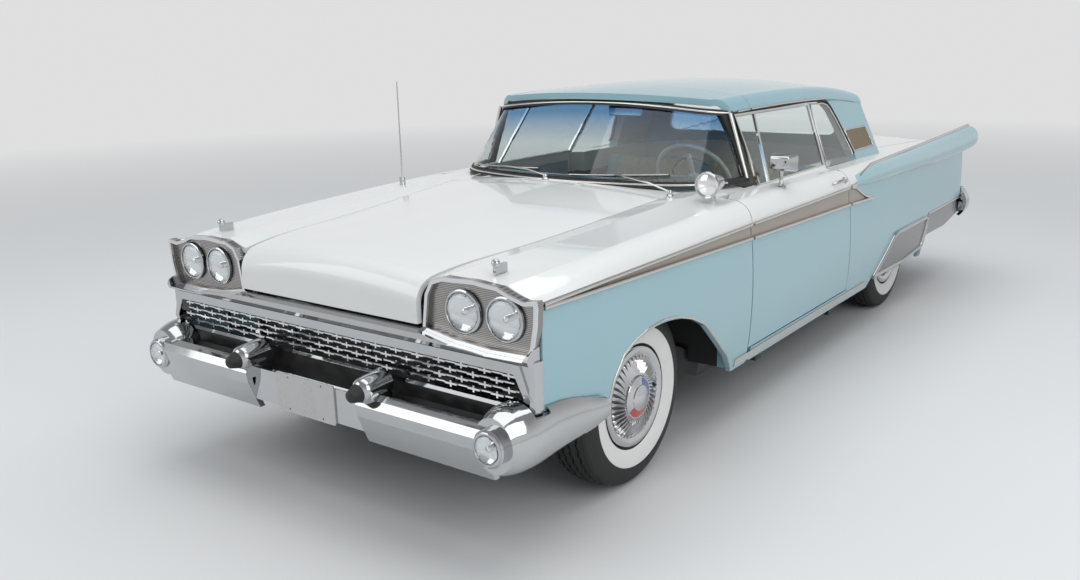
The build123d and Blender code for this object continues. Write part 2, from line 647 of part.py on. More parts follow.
def screen_shell(near, far):
    """The bent sheet of the screen between two depths behind its outer face."""
    with BuildPart() as shell:
        for z, mid_y, break_x, break_y, end_x, end_y in SCREEN_ROWS:
            with BuildSketch(Plane.XY.offset(z)):
                with BuildLine():
                    ends = []
                    for depth in (near, far):
                        front = ThreePointArc(
                            (-break_x, break_y + depth), (0, mid_y + depth), (break_x, break_y + depth)
                        )
                        right_break = (break_x, break_y + depth)
                        TangentArc(right_break, (end_x - depth, end_y), tangent=front % 1)
                        left_break = (-break_x, break_y + depth)
                        TangentArc(left_break, (depth - end_x, end_y), tangent=-(front % 0))
                    Line((end_x - near, end_y), (end_x - far, end_y))
                    Line((near - end_x, end_y), (far - end_x, end_y))
                make_face()
        loft(ruled=True)
    return shell.part


SCREEN_BASE_Z = 1042
SCREEN_TOP_Z = (1306, 1352)
SCREEN_END_Y = -612
FRAME_EDGE = 22


def screen_area(rise, end_y):
    """What the screen covers from ahead: level at its base and arched along the header."""
    with BuildPart() as solid:
        with BuildSketch(Plane.XZ.offset(1200)):
            with BuildLine():
                ends = [(-660, SCREEN_TOP_Z[0] + rise), (660, SCREEN_TOP_Z[0] + rise)]
                ThreePointArc(ends[0], (0, SCREEN_TOP_Z[1] + rise), ends[1])
                base_z = SCREEN_BASE_Z - rise
                Polyline(ends[1], (WIDE, ends[1][1] - 60), (WIDE, base_z), (-WIDE, base_z))
                Polyline((-WIDE, base_z), (-WIDE, ends[0][1] - 60), ends[0])
            make_face()
        extrude(amount=-(1200 + end_y))
    return solid.part


with BuildPart() as windshield_frame:
    add(screen_shell(0, 28))
    add(screen_area(0, SCREEN_END_Y), mode=Mode.SUBTRACT)
    add(screen_area(FRAME_EDGE, 0), mode=Mode.INTERSECT)
    add(roof_flap.part.moved(Location((0, 0, -SEAT_GAP))), mode=Mode.SUBTRACT)
    add(roof_flap.part, mode=Mode.SUBTRACT)
    add(body_raised, mode=Mode.SUBTRACT)
windshield_frame.part.label = "windshield_frame"
export_step(windshield_frame.part, "parts/windshield_frame.step")
with BuildPart() as windshield:
    add(screen_shell(10, 16))
    add(screen_area(-SEAT_GAP, SCREEN_END_Y - SEAT_GAP), mode=Mode.INTERSECT)
windshield.part.label = "windshield"
export_step(windshield.part, "parts/windshield.step")

# Ladder frame: rails in three runs each, crossmembers and front towers
rail_route = [
    (RAIL_FRONT[0], -2400, RAIL_FRONT[1]),
    (RAIL_FRONT[0], RAIL_BEND_YS[0], RAIL_FRONT[1]),
    (RAIL_MID[0], RAIL_BEND_YS[1], RAIL_MID[1]),
    (RAIL_MID[0], 420, RAIL_MID[1]),
    (RAIL_REAR[0], 740, RAIL_REAR[1]),
    (RAIL_REAR[0], 2390, RAIL_REAR[1]),
]
# y, half length, bottom z, top z, depth along the car
CROSSMEMBERS = [
    (-2370, 420, 400, 480, 50),
    (-1690, 430, 200, 330, 130),
    (-900, 690, 205, 295, 70),
    (400, 690, 205, 295, 60),
    (1000, 530, 425, 515, 60),
    (2360, 530, 425, 515, 50),
]
TOWER_X = 470
TOWER_HALF = 90
with BuildPart() as frame:
    for side in (1, -1):
        points = [(side * x, y, z) for x, y, z in rail_route]
        with BuildLine():
            Polyline(*points)
        with BuildSketch(Plane(origin=points[0], x_dir=(1, 0, 0), z_dir=(0, 1, 0))):
            Rectangle(RAIL_W, RAIL_H)
        sweep(transition=Transition.RIGHT)
        with Locations((side * (RAIL_FRONT[0] + TOWER_X) / 2, FRONT_AXLE_Y, 430)):
            Box(TOWER_X - RAIL_FRONT[0], 2 * TOWER_HALF, 120)
        with Locations((side * 400, FRONT_AXLE_Y, 330)):
            Box(60, 130, 110)
    for y, half, low, high, depth in CROSSMEMBERS:
        with Locations((0, y, (low + high) / 2)):
            Box(2 * half, depth, high - low)
    # Outriggers under the sills, and the bumper brackets
    for side in (1, -1):
        for y in (-650, 250):
            with Locations((side * 780, y, 240)):
                Box(160, 60, 2 * (SILL_Z - SEAT_GAP - 240))
        with Locations((side * RAIL_FRONT[0], -2460, 430)):
            Box(60, 140, 60)
        with Locations((side * RAIL_REAR[0], 2490, 490)):
            Box(50, 220, 50)
frame.part.label = "frame"
export_step(frame.part, "parts/frame.step")

# Steering column line, from the wheel's hub down and forwards
tilt = radians(COLUMN_TILT)
column_dir = (0, -cos(tilt), -sin(tilt))
column_plane = Plane(origin=(COLUMN_X, WHEEL_HUB_Y, WHEEL_HUB_Z), x_dir=(1, 0, 0), z_dir=column_dir)
COLUMN_R = 26
SHAFT_R = 9
with BuildPart() as column_hole:
    with BuildSketch(column_plane.offset(30)):
        Circle(COLUMN_R + SEAT_GAP)
    extrude(amount=700)

# Floor pressing: firewall, flat floor, raised rear floor, with a tunnel along the middle
FIREWALL_Y = -1002
TUNNEL_HALF = 130
TUNNEL_TOP_Z = 440
with BuildPart() as floor:
    with BuildSketch(Plane.YZ.offset(-CABIN_HALF + SEAT_GAP)):
        with BuildLine():
            Polyline(
                (FIREWALL_Y, 878),
                (FIREWALL_Y, FLOOR_Z),
                (440, FLOOR_Z),
                (560, REAR_FLOOR_Z),
                (TAIL_Y - TAIL_WALL - SEAT_GAP, REAR_FLOOR_Z),
                (TAIL_Y - TAIL_WALL - SEAT_GAP, REAR_FLOOR_Z + SHEET),
                (552, REAR_FLOOR_Z + SHEET),
                (432, FLOOR_Z + SHEET),
                (FIREWALL_Y + SHEET, FLOOR_Z + SHEET),
                (FIREWALL_Y + SHEET, 878),
                close=True,
            )
        make_face()
    extrude(amount=2 * (CABIN_HALF - SEAT_GAP))
    add(block((-TUNNEL_HALF, TUNNEL_HALF), (FIREWALL_Y, 530), (FLOOR_Z, TUNNEL_TOP_Z)))
    tunnel_room = block((-TUNNEL_HALF + SHEET, TUNNEL_HALF - SHEET), (-1100, 530), (0, TUNNEL_TOP_Z - SHEET))
    add(tunnel_room, mode=Mode.SUBTRACT)
    # Where the rear wheelhouses and the frame's kick-up stand
    add(wheel_disc(WHEELHOUSE_R + SKIN + SEAT_GAP, (WHEELHOUSE_X - SEAT_GAP, WIDE)), mode=Mode.SUBTRACT)
    add(wheel_disc(WHEELHOUSE_R + SKIN + SEAT_GAP, (-WIDE, SEAT_GAP - WHEELHOUSE_X)), mode=Mode.SUBTRACT)
    post_room = block((CABIN_HALF - JAMB - SEAT_GAP, WIDE), (-1100, DOOR_HINGE_Y + 14 + SEAT_GAP), (0, HIGH))
    add(post_room, mode=Mode.SUBTRACT)
    add(post_room.mirror(Plane.YZ), mode=Mode.SUBTRACT)
    add(column_hole.part, mode=Mode.SUBTRACT)
    add(frame.part, mode=Mode.SUBTRACT)
floor.part.label = "floor"
export_step(floor.part, "parts/floor.step")

# Engine with its gearbox, as one plain block of the real size
with BuildPart() as engine:
    add(block((-260, 260), (-2060, -1330), (330 + SEAT_GAP, 820)))
    add(block((-110, 110), (-1330, -1020), (330, 560)))
    chamfer(engine.edges().filter_by(Axis.Y).group_by(Axis.Z)[-1], 60)
engine.part.label = "engine"
export_step(engine.part, "parts/engine.step")

# Radiator and its support panel, across the nose behind the grille
with BuildPart() as radiator:
    add(block((-APRON_X + SEAT_GAP, APRON_X - SEAT_GAP), (-2362, -2350), (480 + SEAT_GAP, 800)))
    add(block((-300, 300), (-2350, -2290), (500, 780)))
radiator.part.label = "radiator"
export_step(radiator.part, "parts/radiator.step")

# Front suspension: lower and upper arms with a coil between them, each side
ARM_T = 20
LOWER_EYE_Z = HUB_Z - BALL_RISE - ARM_T / 2
UPPER_EYE_Z = HUB_Z + BALL_RISE - ARM_T / 2


def arm(inner_x, inner_half, z):
    """A wishbone from its inner pivots out to the eye on the steering axis."""
    with BuildPart() as solid:
        with BuildSketch(Plane.XY.offset(z)):
            with BuildLine():
                Polyline(
                    (inner_x, FRONT_AXLE_Y - inner_half),
                    (KINGPIN_X, FRONT_AXLE_Y - 24),
                    (KINGPIN_X, FRONT_AXLE_Y + 24),
                    (inner_x, FRONT_AXLE_Y + inner_half),
                    close=True,
                )
            make_face()
            with Locations((KINGPIN_X, FRONT_AXLE_Y)):
                Circle(24)
                Circle(BALL_PIN_R + SPINDLE_FIT, mode=Mode.SUBTRACT)
        extrude(amount=ARM_T)
    return solid.part


with BuildPart() as front_suspension:
    add(arm(430 + SEAT_GAP, 62, LOWER_EYE_Z))
    add(arm(TOWER_X + SEAT_GAP, TOWER_HALF, UPPER_EYE_Z))
    with Locations((530, FRONT_AXLE_Y, (LOWER_EYE_Z + UPPER_EYE_Z) / 2 + ARM_T / 2)):
        Cylinder(48, UPPER_EYE_Z - LOWER_EYE_Z)
    mirror(about=Plane.YZ)
front_suspension.part.label = "front_suspension"
export_step(front_suspension.part, "parts/front_suspension.step")

# Steering knuckles: upright, ball pins, back plate and wheel spindle
BACKPLATE_X = 692
HUB_HALF = 40
with BuildPart() as knuckle_left:
    upright = (LOWER_EYE_Z + ARM_T + SEAT_GAP, UPPER_EYE_Z - SEAT_GAP)
    add(block((KINGPIN_X - 20, KINGPIN_X + 20), (FRONT_AXLE_Y - 24, FRONT_AXLE_Y + 24), upright))
    with Locations((KINGPIN_X, FRONT_AXLE_Y, HUB_Z)):
        Cylinder(BALL_PIN_R, 2 * BALL_RISE + ARM_T)
    with BuildSketch(Plane.YZ.offset(KINGPIN_X)):
        with Locations((FRONT_AXLE_Y, HUB_Z)):
            Circle(30)
    extrude(amount=BACKPLATE_X - KINGPIN_X)
    with BuildSketch(Plane.YZ.offset(BACKPLATE_X)):
        with Locations((FRONT_AXLE_Y, HUB_Z)):
            Circle(135)
    extrude(amount=6)
    with BuildSketch(Plane.YZ.offset(BACKPLATE_X)):
        with Locations((FRONT_AXLE_Y, HUB_Z)):
            Circle(SPINDLE_R)
    extrude(amount=FRONT_TRACK / 2 + HUB_HALF - 4 - BACKPLATE_X)
knuckle_left.part.label = "knuckle_left"
export_step(knuckle_left.part, "parts/knuckle_left.step")
with BuildPart() as knuckle_right:
    mirror(knuckle_left.part, about=Plane.YZ)
knuckle_right.part.label = "knuckle_right"
export_step(knuckle_right.part, "parts/knuckle_right.step")

# Rear axle: housing, differential, spindles, and a leaf spring under each side
SPRING_W = 56
AXLE_TUBE_R = 38
REAR_PLATE_X = REAR_TRACK / 2 - 60
SPRING_OUTLINE = [
    (830, RAIL_REAR[1] - RAIL_H / 2 - SEAT_GAP), (830, 392), (1000, 340), (1190, 306), (1390, 300),
    (1590, 314), (1780, 348), (1950, 388), (1950, RAIL_REAR[1] - RAIL_H / 2 - SEAT_GAP),
    (1922, RAIL_REAR[1] - RAIL_H / 2 - SEAT_GAP), (1922, 408), (1780, 374), (1590, 338), (1390, 324),
    (1190, 330), (1000, 366), (858, 410), (858, RAIL_REAR[1] - RAIL_H / 2 - SEAT_GAP),
]
DIFF_R = 120
SPINDLE_END = REAR_TRACK / 2 + HUB_HALF - 4
diff_side = sqrt(DIFF_R**2 - AXLE_TUBE_R**2)
with BuildPart() as rear_axle:
    # Local x runs across the car along the axle, local y is the radius
    with BuildSketch(Plane((0, REAR_AXLE_Y, HUB_Z))):
        with BuildLine():
            Polyline(
                (diff_side, AXLE_TUBE_R),
                (REAR_PLATE_X - 6, AXLE_TUBE_R),
                (REAR_PLATE_X - 6, 135),
                (REAR_PLATE_X, 135),
                (REAR_PLATE_X, SPINDLE_R),
                (SPINDLE_END, SPINDLE_R),
                (SPINDLE_END, 0),
                (-SPINDLE_END, 0),
                (-SPINDLE_END, SPINDLE_R),
                (-REAR_PLATE_X, SPINDLE_R),
                (-REAR_PLATE_X, 135),
                (6 - REAR_PLATE_X, 135),
                (6 - REAR_PLATE_X, AXLE_TUBE_R),
                (-diff_side, AXLE_TUBE_R),
            )
            ThreePointArc((-diff_side, AXLE_TUBE_R), (0, DIFF_R), (diff_side, AXLE_TUBE_R))
        make_face()
    revolve(axis=Axis((0, REAR_AXLE_Y, HUB_Z), (1, 0, 0)))
    for x in (-RAIL_REAR[0], RAIL_REAR[0]):
        add(side_prism(SPRING_OUTLINE, (x - SPRING_W / 2, x + SPRING_W / 2)))
    for x in (-RAIL_REAR[0], RAIL_REAR[0]):
        with Locations((x, REAR_AXLE_Y, 318)):
            Box(SPRING_W + 16, 100, 60)
rear_axle.part.label = "rear_axle"
export_step(rear_axle.part, "parts/rear_axle.step")

# Propeller shaft from the gearbox to the differential
with BuildPart() as drive_shaft:
    with BuildSketch(Plane.XZ.offset(1020 - SEAT_GAP)):
        with Locations((0, 350)):
            Circle(34)
    extrude(amount=-(REAR_AXLE_Y - DIFF_R + 1020 - 2 * SEAT_GAP))
drive_shaft.part.label = "drive_shaft"
export_step(drive_shaft.part, "parts/drive_shaft.step")

# Fuel tank under the luggage floor
with BuildPart() as fuel_tank:
    add(block((-420, 420), (1960, 2320), (300, 424)))
    fillet(fuel_tank.edges().filter_by(Axis.X), 30)
    add(block((-300, 300), (2000, 2300), (420, REAR_FLOOR_Z - SEAT_GAP)))
fuel_tank.part.label = "fuel_tank"
export_step(fuel_tank.part, "parts/fuel_tank.step")

# Exhaust: each side a pipe over the axle, with a silencer under the floor
PIPE_R = 26
SILENCER_Z = 178
exhaust_route = [
    (300, -1330, SILENCER_Z),
    (300, 900, SILENCER_Z),
    (455, 1160, 450),
    (455, 1560, 450),
    (455, 1860, 350),
    (455, 2540, 300),
]
with BuildPart() as exhaust:
    with BuildLine():
        Polyline(*exhaust_route)
    with BuildSketch(Plane(origin=exhaust_route[0], x_dir=(1, 0, 0), z_dir=(0, 1, 0))):
        RegularPolygon(PIPE_R, 16)
    sweep(transition=Transition.RIGHT)
    with BuildSketch(Plane.XZ.offset(560)):
        with Locations((exhaust_route[0][0], SILENCER_Z)):
            SlotOverall(170, 80)
    extrude(amount=-700)
    mirror(about=Plane.YZ)
exhaust.part.label = "exhaust"
export_step(exhaust.part, "parts/exhaust.step")

# Tyres and wheels
TYRE_BEAD_R = RIM_R + SEAT_GAP
WALL_BULGE = TYRE_WIDTH / 2
TREAD_HALF = 74
BEAD_HALF = 60
# name, centre x, centre y, side
WHEELS = [
    ("front_left", FRONT_TRACK / 2, FRONT_AXLE_Y, 1),
    ("front_right", -FRONT_TRACK / 2, FRONT_AXLE_Y, -1),
    ("rear_left", REAR_TRACK / 2, REAR_AXLE_Y, 1),
    ("rear_right", -REAR_TRACK / 2, REAR_AXLE_Y, -1),
]
for name, x, y, side in WHEELS:
    # Local x of the plane runs along the radius and local y outwards along the axle
    hub = Plane(origin=(x, y, HUB_Z), x_dir=(0, 0, 1), z_dir=(0, side, 0))
    axis = Axis((x, y, HUB_Z), (1, 0, 0))
    with BuildPart() as tyre:
        with BuildSketch(hub):
            with BuildLine():
                Line((TYRE_BEAD_R, -BEAD_HALF), (TYRE_BEAD_R, BEAD_HALF))
                ThreePointArc((TYRE_BEAD_R, BEAD_HALF), (268, WALL_BULGE), (TYRE_R - 12, TREAD_HALF))
                ThreePointArc((TYRE_R - 12, TREAD_HALF), (TYRE_R, 0), (TYRE_R - 12, -TREAD_HALF))
                ThreePointArc((TYRE_R - 12, -TREAD_HALF), (268, -WALL_BULGE), (TYRE_BEAD_R, -BEAD_HALF))
            make_face()
        revolve(axis=axis)
    tyre.part.label = f"tyre_{name}"
    export_step(tyre.part, f"parts/tyre_{name}.step")
    with BuildPart() as wheel:
        with BuildSketch(hub):
            with BuildLine():
                # Barrel, disc and hub as one closed outline
                Polyline(
                    (SPINDLE_R + SPINDLE_FIT, -HUB_HALF),
                    (46, -HUB_HALF),
                    (46, 10),
                    (150, 10),
                    (166, 0),
                    (166, -RIM_WIDTH / 2),
                    (RIM_R + 10, -RIM_WIDTH / 2 - 6),
                    (RIM_R + 10, -RIM_WIDTH / 2),
                    (RIM_R, -RIM_WIDTH / 2 + 4),
                    (RIM_R, RIM_WIDTH / 2 - 4),
                    (COVER_R, RIM_WIDTH / 2),
                    (COVER_R, RIM_WIDTH / 2 + 8),
                    (COVER_R - 14, RIM_WIDTH / 2 + 14),
                    (140, RIM_WIDTH / 2 + 6),
                    (62, RIM_WIDTH / 2 + 22),
                )
                dome_x = RIM_WIDTH / 2 + 22
                ThreePointArc((62, dome_x), dome_mid(62, 26, dome_x), (0, dome_x + 26))
                Line((0, dome_x + 26), (0, HUB_HALF))
                Line((0, HUB_HALF), (SPINDLE_R + SPINDLE_FIT, HUB_HALF))
                Line((SPINDLE_R + SPINDLE_FIT, HUB_HALF), (SPINDLE_R + SPINDLE_FIT, -HUB_HALF))
            make_face()
        revolve(axis=axis)
    wheel.part.label = f"wheel_{name}"
    export_step(wheel.part, f"parts/wheel_{name}.step")

# Bench seats, front and rear
with BuildPart() as front_seat_cushion:
    add(block((-680, 680), (-120, 380), (FLOOR_Z + SHEET + SEAT_GAP, 560)))
    tunnel_room = block((-TUNNEL_HALF - 1, TUNNEL_HALF + 1), (-300, 500), (0, TUNNEL_TOP_Z + SEAT_GAP))
    add(tunnel_room, mode=Mode.SUBTRACT)
    fillet(front_seat_cushion.edges().filter_by(Axis.X).group_by(Axis.Z)[-1], 50)
front_seat_cushion.part.label = "front_seat_cushion"
export_step(front_seat_cushion.part, "parts/front_seat_cushion.step")
with BuildPart() as front_seat_back:
    with BuildSketch(Plane.YZ.offset(-680)):
        with BuildLine():
            Polyline((250, 560 + SEAT_GAP), (380, 560 + SEAT_GAP), (500, 1000), (380, 1000), close=True)
        make_face()
    extrude(amount=1360)
    fillet(front_seat_back.edges().filter_by(Axis.X).group_by(Axis.Z)[-1], 40)
front_seat_back.part.label = "front_seat_back"
export_step(front_seat_back.part, "parts/front_seat_back.step")
with BuildPart() as rear_seat_cushion:
    add(block((-560, 560), (590, 900), (REAR_FLOOR_Z + SHEET + SEAT_GAP, 660)))
    fillet(rear_seat_cushion.edges().filter_by(Axis.X).group_by(Axis.Z)[-1], 50)
rear_seat_cushion.part.label = "rear_seat_cushion"
export_step(rear_seat_cushion.part, "parts/rear_seat_cushion.step")
with BuildPart() as rear_seat_back:
    with BuildSketch(Plane.YZ.offset(-560)):
        with BuildLine():
            foot_z = 660 + SEAT_GAP
            Polyline((790, foot_z), (BULKHEAD_Y - 30, foot_z), (BULKHEAD_Y - SEAT_GAP, 930))
            Polyline((BULKHEAD_Y - SEAT_GAP, 930), (880, 930), (790, foot_z))
        make_face()
    extrude(amount=1120)
    fillet(rear_seat_back.edges().filter_by(Axis.X).group_by(Axis.Z)[-1], 30)
rear_seat_back.part.label = "rear_seat_back"
export_step(rear_seat_back.part, "parts/rear_seat_back.step")

# Dashboard across the cabin, under the screen
DASH_FRONT_Y = FIREWALL_Y + SHEET + SEAT_GAP
with BuildPart() as dash_room:
    add(block((-CABIN_HALF, CABIN_HALF), (-1000, 0), (600, 880 - SEAT_GAP)))
    with BuildSketch(Plane.XY.offset(800)):
        with BuildLine():
            Polyline(*screen_well, close=True)
        make_face()
        offset(amount=-SEAT_GAP, kind=Kind.INTERSECTION)
    extrude(amount=400)
with BuildPart() as dashboard:
    with BuildSketch(Plane.YZ.offset(-CABIN_HALF + JAMB + SEAT_GAP)):
        with BuildLine():
            Polyline((DASH_FRONT_Y, 740), (-760, 740), (-700, 800), (-660, 880), (-640, 950))
            ThreePointArc((-640, 950), (-672, 992), (-760, 1004))
            Polyline((-760, 1004), (DASH_FRONT_Y, 985), (DASH_FRONT_Y, 740))
        make_face()
    extrude(amount=2 * (CABIN_HALF - JAMB - SEAT_GAP))
    add(dash_room.part, mode=Mode.INTERSECT)
    add(column_hole.part, mode=Mode.SUBTRACT)
dashboard.part.label = "dashboard"
export_step(dashboard.part, "parts/dashboard.step")

# Steering column, and the wheel on its shaft end
with BuildPart() as steering_column:
    with BuildSketch(column_plane.offset(30)):
        Circle(COLUMN_R)
    extrude(amount=646)
    with BuildSketch(column_plane.offset(-8)):
        Circle(SHAFT_R)
    extrude(amount=60)
steering_column.part.label = "steering_column"
export_step(steering_column.part, "parts/steering_column.step")
with BuildPart() as steering_wheel:
    with BuildSketch(column_plane.offset(-22)):
        Circle(38)
    extrude(amount=40)
    with BuildSketch(column_plane.offset(-22)):
        with Locations((0, 0)):
            Rectangle(2 * STEERING_WHEEL_R - 16, 24)
        with Locations((0, 70)):
            Rectangle(20, 150)
    extrude(amount=12)
    with BuildSketch(Plane(origin=column_plane.origin, x_dir=column_dir, z_dir=(1, 0, 0))):
        with Locations((-16, STEERING_WHEEL_R - 9)):
            Circle(10)
    revolve(axis=Axis(column_plane.origin, column_dir))
    with BuildSketch(column_plane.offset(-9)):
        Circle(SHAFT_R + 0.08)
    extrude(amount=40, mode=Mode.SUBTRACT)
steering_wheel.part.label = "steering_wheel"
export_step(steering_wheel.part, "parts/steering_wheel.step")

# Headlamp bezels: a chrome rim round a shallow recess that holds two lamps
BEZEL_FRONT_Y = -2427
BEZEL_DEEP = 22
BEZEL_RIM = 12
BEZEL_OUTLINE = [
    (468, 745), (486, 868), (512, 914), (561, 932), (692, 938), (793, 930), (838, 912),
    (891, 897), (941, 904), (944, 886), (940, 824), (926, 748), (908, 716), (750, 712), (598, 722),
]
HEADLAMP_XS = (637, 808)
HEADLAMP_Z = 826
HEADLAMP_R = 73
with BuildPart() as headlamp_bezels:
    with BuildSketch(Plane.XZ.offset(-BEZEL_FRONT_Y)):
        with BuildLine():
            Polyline(*BEZEL_OUTLINE, close=True)
        make_face()
    extrude(amount=-(FENDER_FRONT_Y - SEAT_GAP - BEZEL_FRONT_Y))
    with BuildSketch(Plane.XZ.offset(-BEZEL_FRONT_Y)):
        with BuildLine():
            Polyline(*BEZEL_OUTLINE, close=True)
        make_face()
        offset(amount=-BEZEL_RIM, kind=Kind.INTERSECTION)
    extrude(amount=-BEZEL_DEEP, mode=Mode.SUBTRACT)
    with BuildSketch(Plane.XZ.offset(-BEZEL_FRONT_Y + 10)):
        with Locations(*[(x, HEADLAMP_Z) for x in HEADLAMP_XS]):
            Circle(HEADLAMP_R + SEAT_GAP)
    extrude(amount=-60, mode=Mode.SUBTRACT)
    mirror(about=Plane.YZ)
headlamp_bezels.part.label = "headlamp_bezels"
export_step(headlamp_bezels.part, "parts/headlamp_bezels.step")

# Lamps: each a disc with a domed front
POD_X = 862
POD_Z = 468
POD_FRONT_Y = -2545
FOG_R = 54
# x, back y, rim y, dome y, z, radius
LAMPS = [
    (HEADLAMP_XS[0], -2394, -2414, -2430, HEADLAMP_Z, HEADLAMP_R),
    (HEADLAMP_XS[1], -2394, -2414, -2430, HEADLAMP_Z, HEADLAMP_R),
    (POD_X, POD_FRONT_Y + 20, POD_FRONT_Y - 4, POD_FRONT_Y - 14, POD_Z, FOG_R),
]
with BuildPart() as headlamps:
    for x, back_y, rim_y, dome_y, z, radius in LAMPS:
        with BuildSketch(Plane(origin=(x, 0, z), x_dir=(1, 0, 0), z_dir=(0, 0, 1))):
            with BuildLine():
                Polyline((0, dome_y), (0, back_y), (radius, back_y), (radius, rim_y))
                ThreePointArc((radius, rim_y), dome_mid(radius, dome_y - rim_y, rim_y), (0, dome_y))
            make_face()
        revolve(axis=Axis((x, 0, z), (0, 1, 0)))
    mirror(about=Plane.YZ)
headlamps.part.label = "headlamps"
export_step(headlamps.part, "parts/headlamps.step")

# Grille surround: header moulding, end pieces and the frame of the opening
HEADER_PROFILE = [(-2395, 757), (-2436, 752), (-2458, 740), (-2464, 722), (-2456, 706), (-2395, 700)]
OPENING = [(863, 667), (902, 591), (874, 566)]
opening = OPENING + [(-x, z) for x, z in reversed(OPENING)]
surround = [(885, 700), (926, 590), (890, 552)]
surround = surround + [(-x, z) for x, z in reversed(surround)]
GRILLE_Y = (-2446, -2400)
with BuildPart() as bezel_room:
    with BuildSketch(Plane.XZ.offset(2600)):
        with BuildLine():
            Polyline(*BEZEL_OUTLINE, close=True)
        make_face()
        offset(amount=SEAT_GAP, kind=Kind.INTERSECTION)
    extrude(amount=-300)
    mirror(about=Plane.YZ)
with BuildPart() as grille_surround:
    add(side_prism(HEADER_PROFILE, (-930, 930)))
    with BuildSketch(Plane.XZ.offset(-GRILLE_Y[0])):
        with BuildLine():
            Polyline(*surround, close=True)
        make_face()
    extrude(amount=GRILLE_Y[0] - GRILLE_Y[1])
    # End pieces that wrap on to the fender sides
    end_plan = [(880, -2440), (918, -2440), (932, -2430), (938, -2412), (938, -2395), (880, -2395)]
    add(plan_prism(end_plan, (545, 712)))
    add(plan_prism([(-x, y) for x, y in end_plan], (545, 712)))
    with BuildSketch(Plane.XZ.offset(-GRILLE_Y[0] + 20)):
        with BuildLine():
            Polyline(*opening, close=True)
        make_face()
        fillet(vertices(), 9)
    extrude(amount=-120, mode=Mode.SUBTRACT)
    add(bezel_room.part, mode=Mode.SUBTRACT)

# Grille insert: rows of floating plus shapes, staggered row by row on thin bars
GRILLE_ROWS = (582, 606, 630, 654)
PLUS_PITCH = 98
PLUS_COUNT = 18
PLUS_WIDE = 52
PLUS_TALL = 22
BAR_T = 5
INSERT_Y = -2428
with BuildPart() as grille_insert:
    for index, z in enumerate(GRILLE_ROWS):
        reach = PLUS_COUNT * PLUS_PITCH / 2 - (index % 2) * PLUS_PITCH / 2
        centres = [(k * PLUS_PITCH - reach, z) for k in range(PLUS_COUNT + 1 - index % 2)]
        centres = [point for point in centres if abs(point[0]) < 850]
        with BuildSketch(Plane.XZ.offset(-INSERT_Y)):
            for centre in centres:
                with Locations(centre):
                    Rectangle(PLUS_WIDE, 7)
                    Rectangle(7, PLUS_TALL)
        extrude(amount=6)
        with Locations((0, INSERT_Y + 4, z)):
            Box(2 * (870 if z < 620 else 850), 10, BAR_T)
    # Uprights behind the bars
    for x in (-600, -200, 200, 600):
        with Locations((x, INSERT_Y + 12, (GRILLE_ROWS[0] + GRILLE_ROWS[-1]) / 2)):
            Box(8, 10, GRILLE_ROWS[-1] - GRILLE_ROWS[0] + 10)
grille_insert.part.label = "grille_insert"
export_step(grille_insert.part, "parts/grille_insert.step")
# The insert's bars end in slots of the surround
with BuildPart() as slots:
    for z in GRILLE_ROWS:
        with Locations((0, INSERT_Y + 4, z)):
            Box(2 * (870 if z < 620 else 850) + 2 * SEAT_GAP, 10 + 2 * SEAT_GAP, BAR_T + 2 * SEAT_GAP)
with BuildPart() as surround_slotted:
    add(grille_surround.part)
    add(slots.part, mode=Mode.SUBTRACT)
surround_slotted.part.label = "grille_surround"
export_step(surround_slotted.part, "parts/grille_surround.step")

# Front bumper: centre blade, an outboard blade each side, guards and wrapped end pods
BLADE_PROFILE = [
    (-2478, 522), (-2540, 530), (-2572, 520), (-2586, 494), (-2580, 452), (-2556, 392), (-2536, 346),
    (-2514, 346), (-2534, 392), (-2558, 452), (-2562, 488), (-2554, 502), (-2536, 508), (-2478, 500),
]
GUARD_X = 321
GUARD_R = 45
GUARD_LENGTH = 122
guard_plane = Plane(origin=(GUARD_X, -2476, 556), x_dir=(0, -1, -0.1), z_dir=(1, 0, 0))
guard_axis = Axis(guard_plane.origin, guard_plane.x_dir)
body_clear = body_form(-6)
PLATE_FRONT_Y = -2558
PLATE_MID_Z = 449
with BuildPart() as plate_holes:
    with BuildSketch(Plane.XZ.offset(-PLATE_FRONT_Y)):
        with Locations((0, PLATE_MID_Z)):
            with GridLocations(178, 121, 2, 2):
                Circle(3.5)
    extrude(amount=-40)
with BuildPart() as end_pod:
    # y, centre x, centre z, half width, half height
    for y, x, z, rx, rz in [
        (-2556, 862, 468, 78, 92),
        (-2500, 866, 470, 96, 112),
        (-2440, 876, 472, 98, 114),
        (-2370, 890, 472, 84, 106),
        (-2290, 905, 470, 68, 92),
        (-2200, 920, 462, 52, 74),
        (-2110, 932, 455, 38, 54),
        (-2058, 938, 452, 30, 40),
    ]:
        with BuildSketch(Plane.XZ.offset(-y)):
            with Locations((x, z)):
                Ellipse(rx, rz)
    loft()
    add(body_clear, mode=Mode.SUBTRACT)
    add(block((750, 990), (-2452, -2380), (540, 720)), mode=Mode.SUBTRACT)
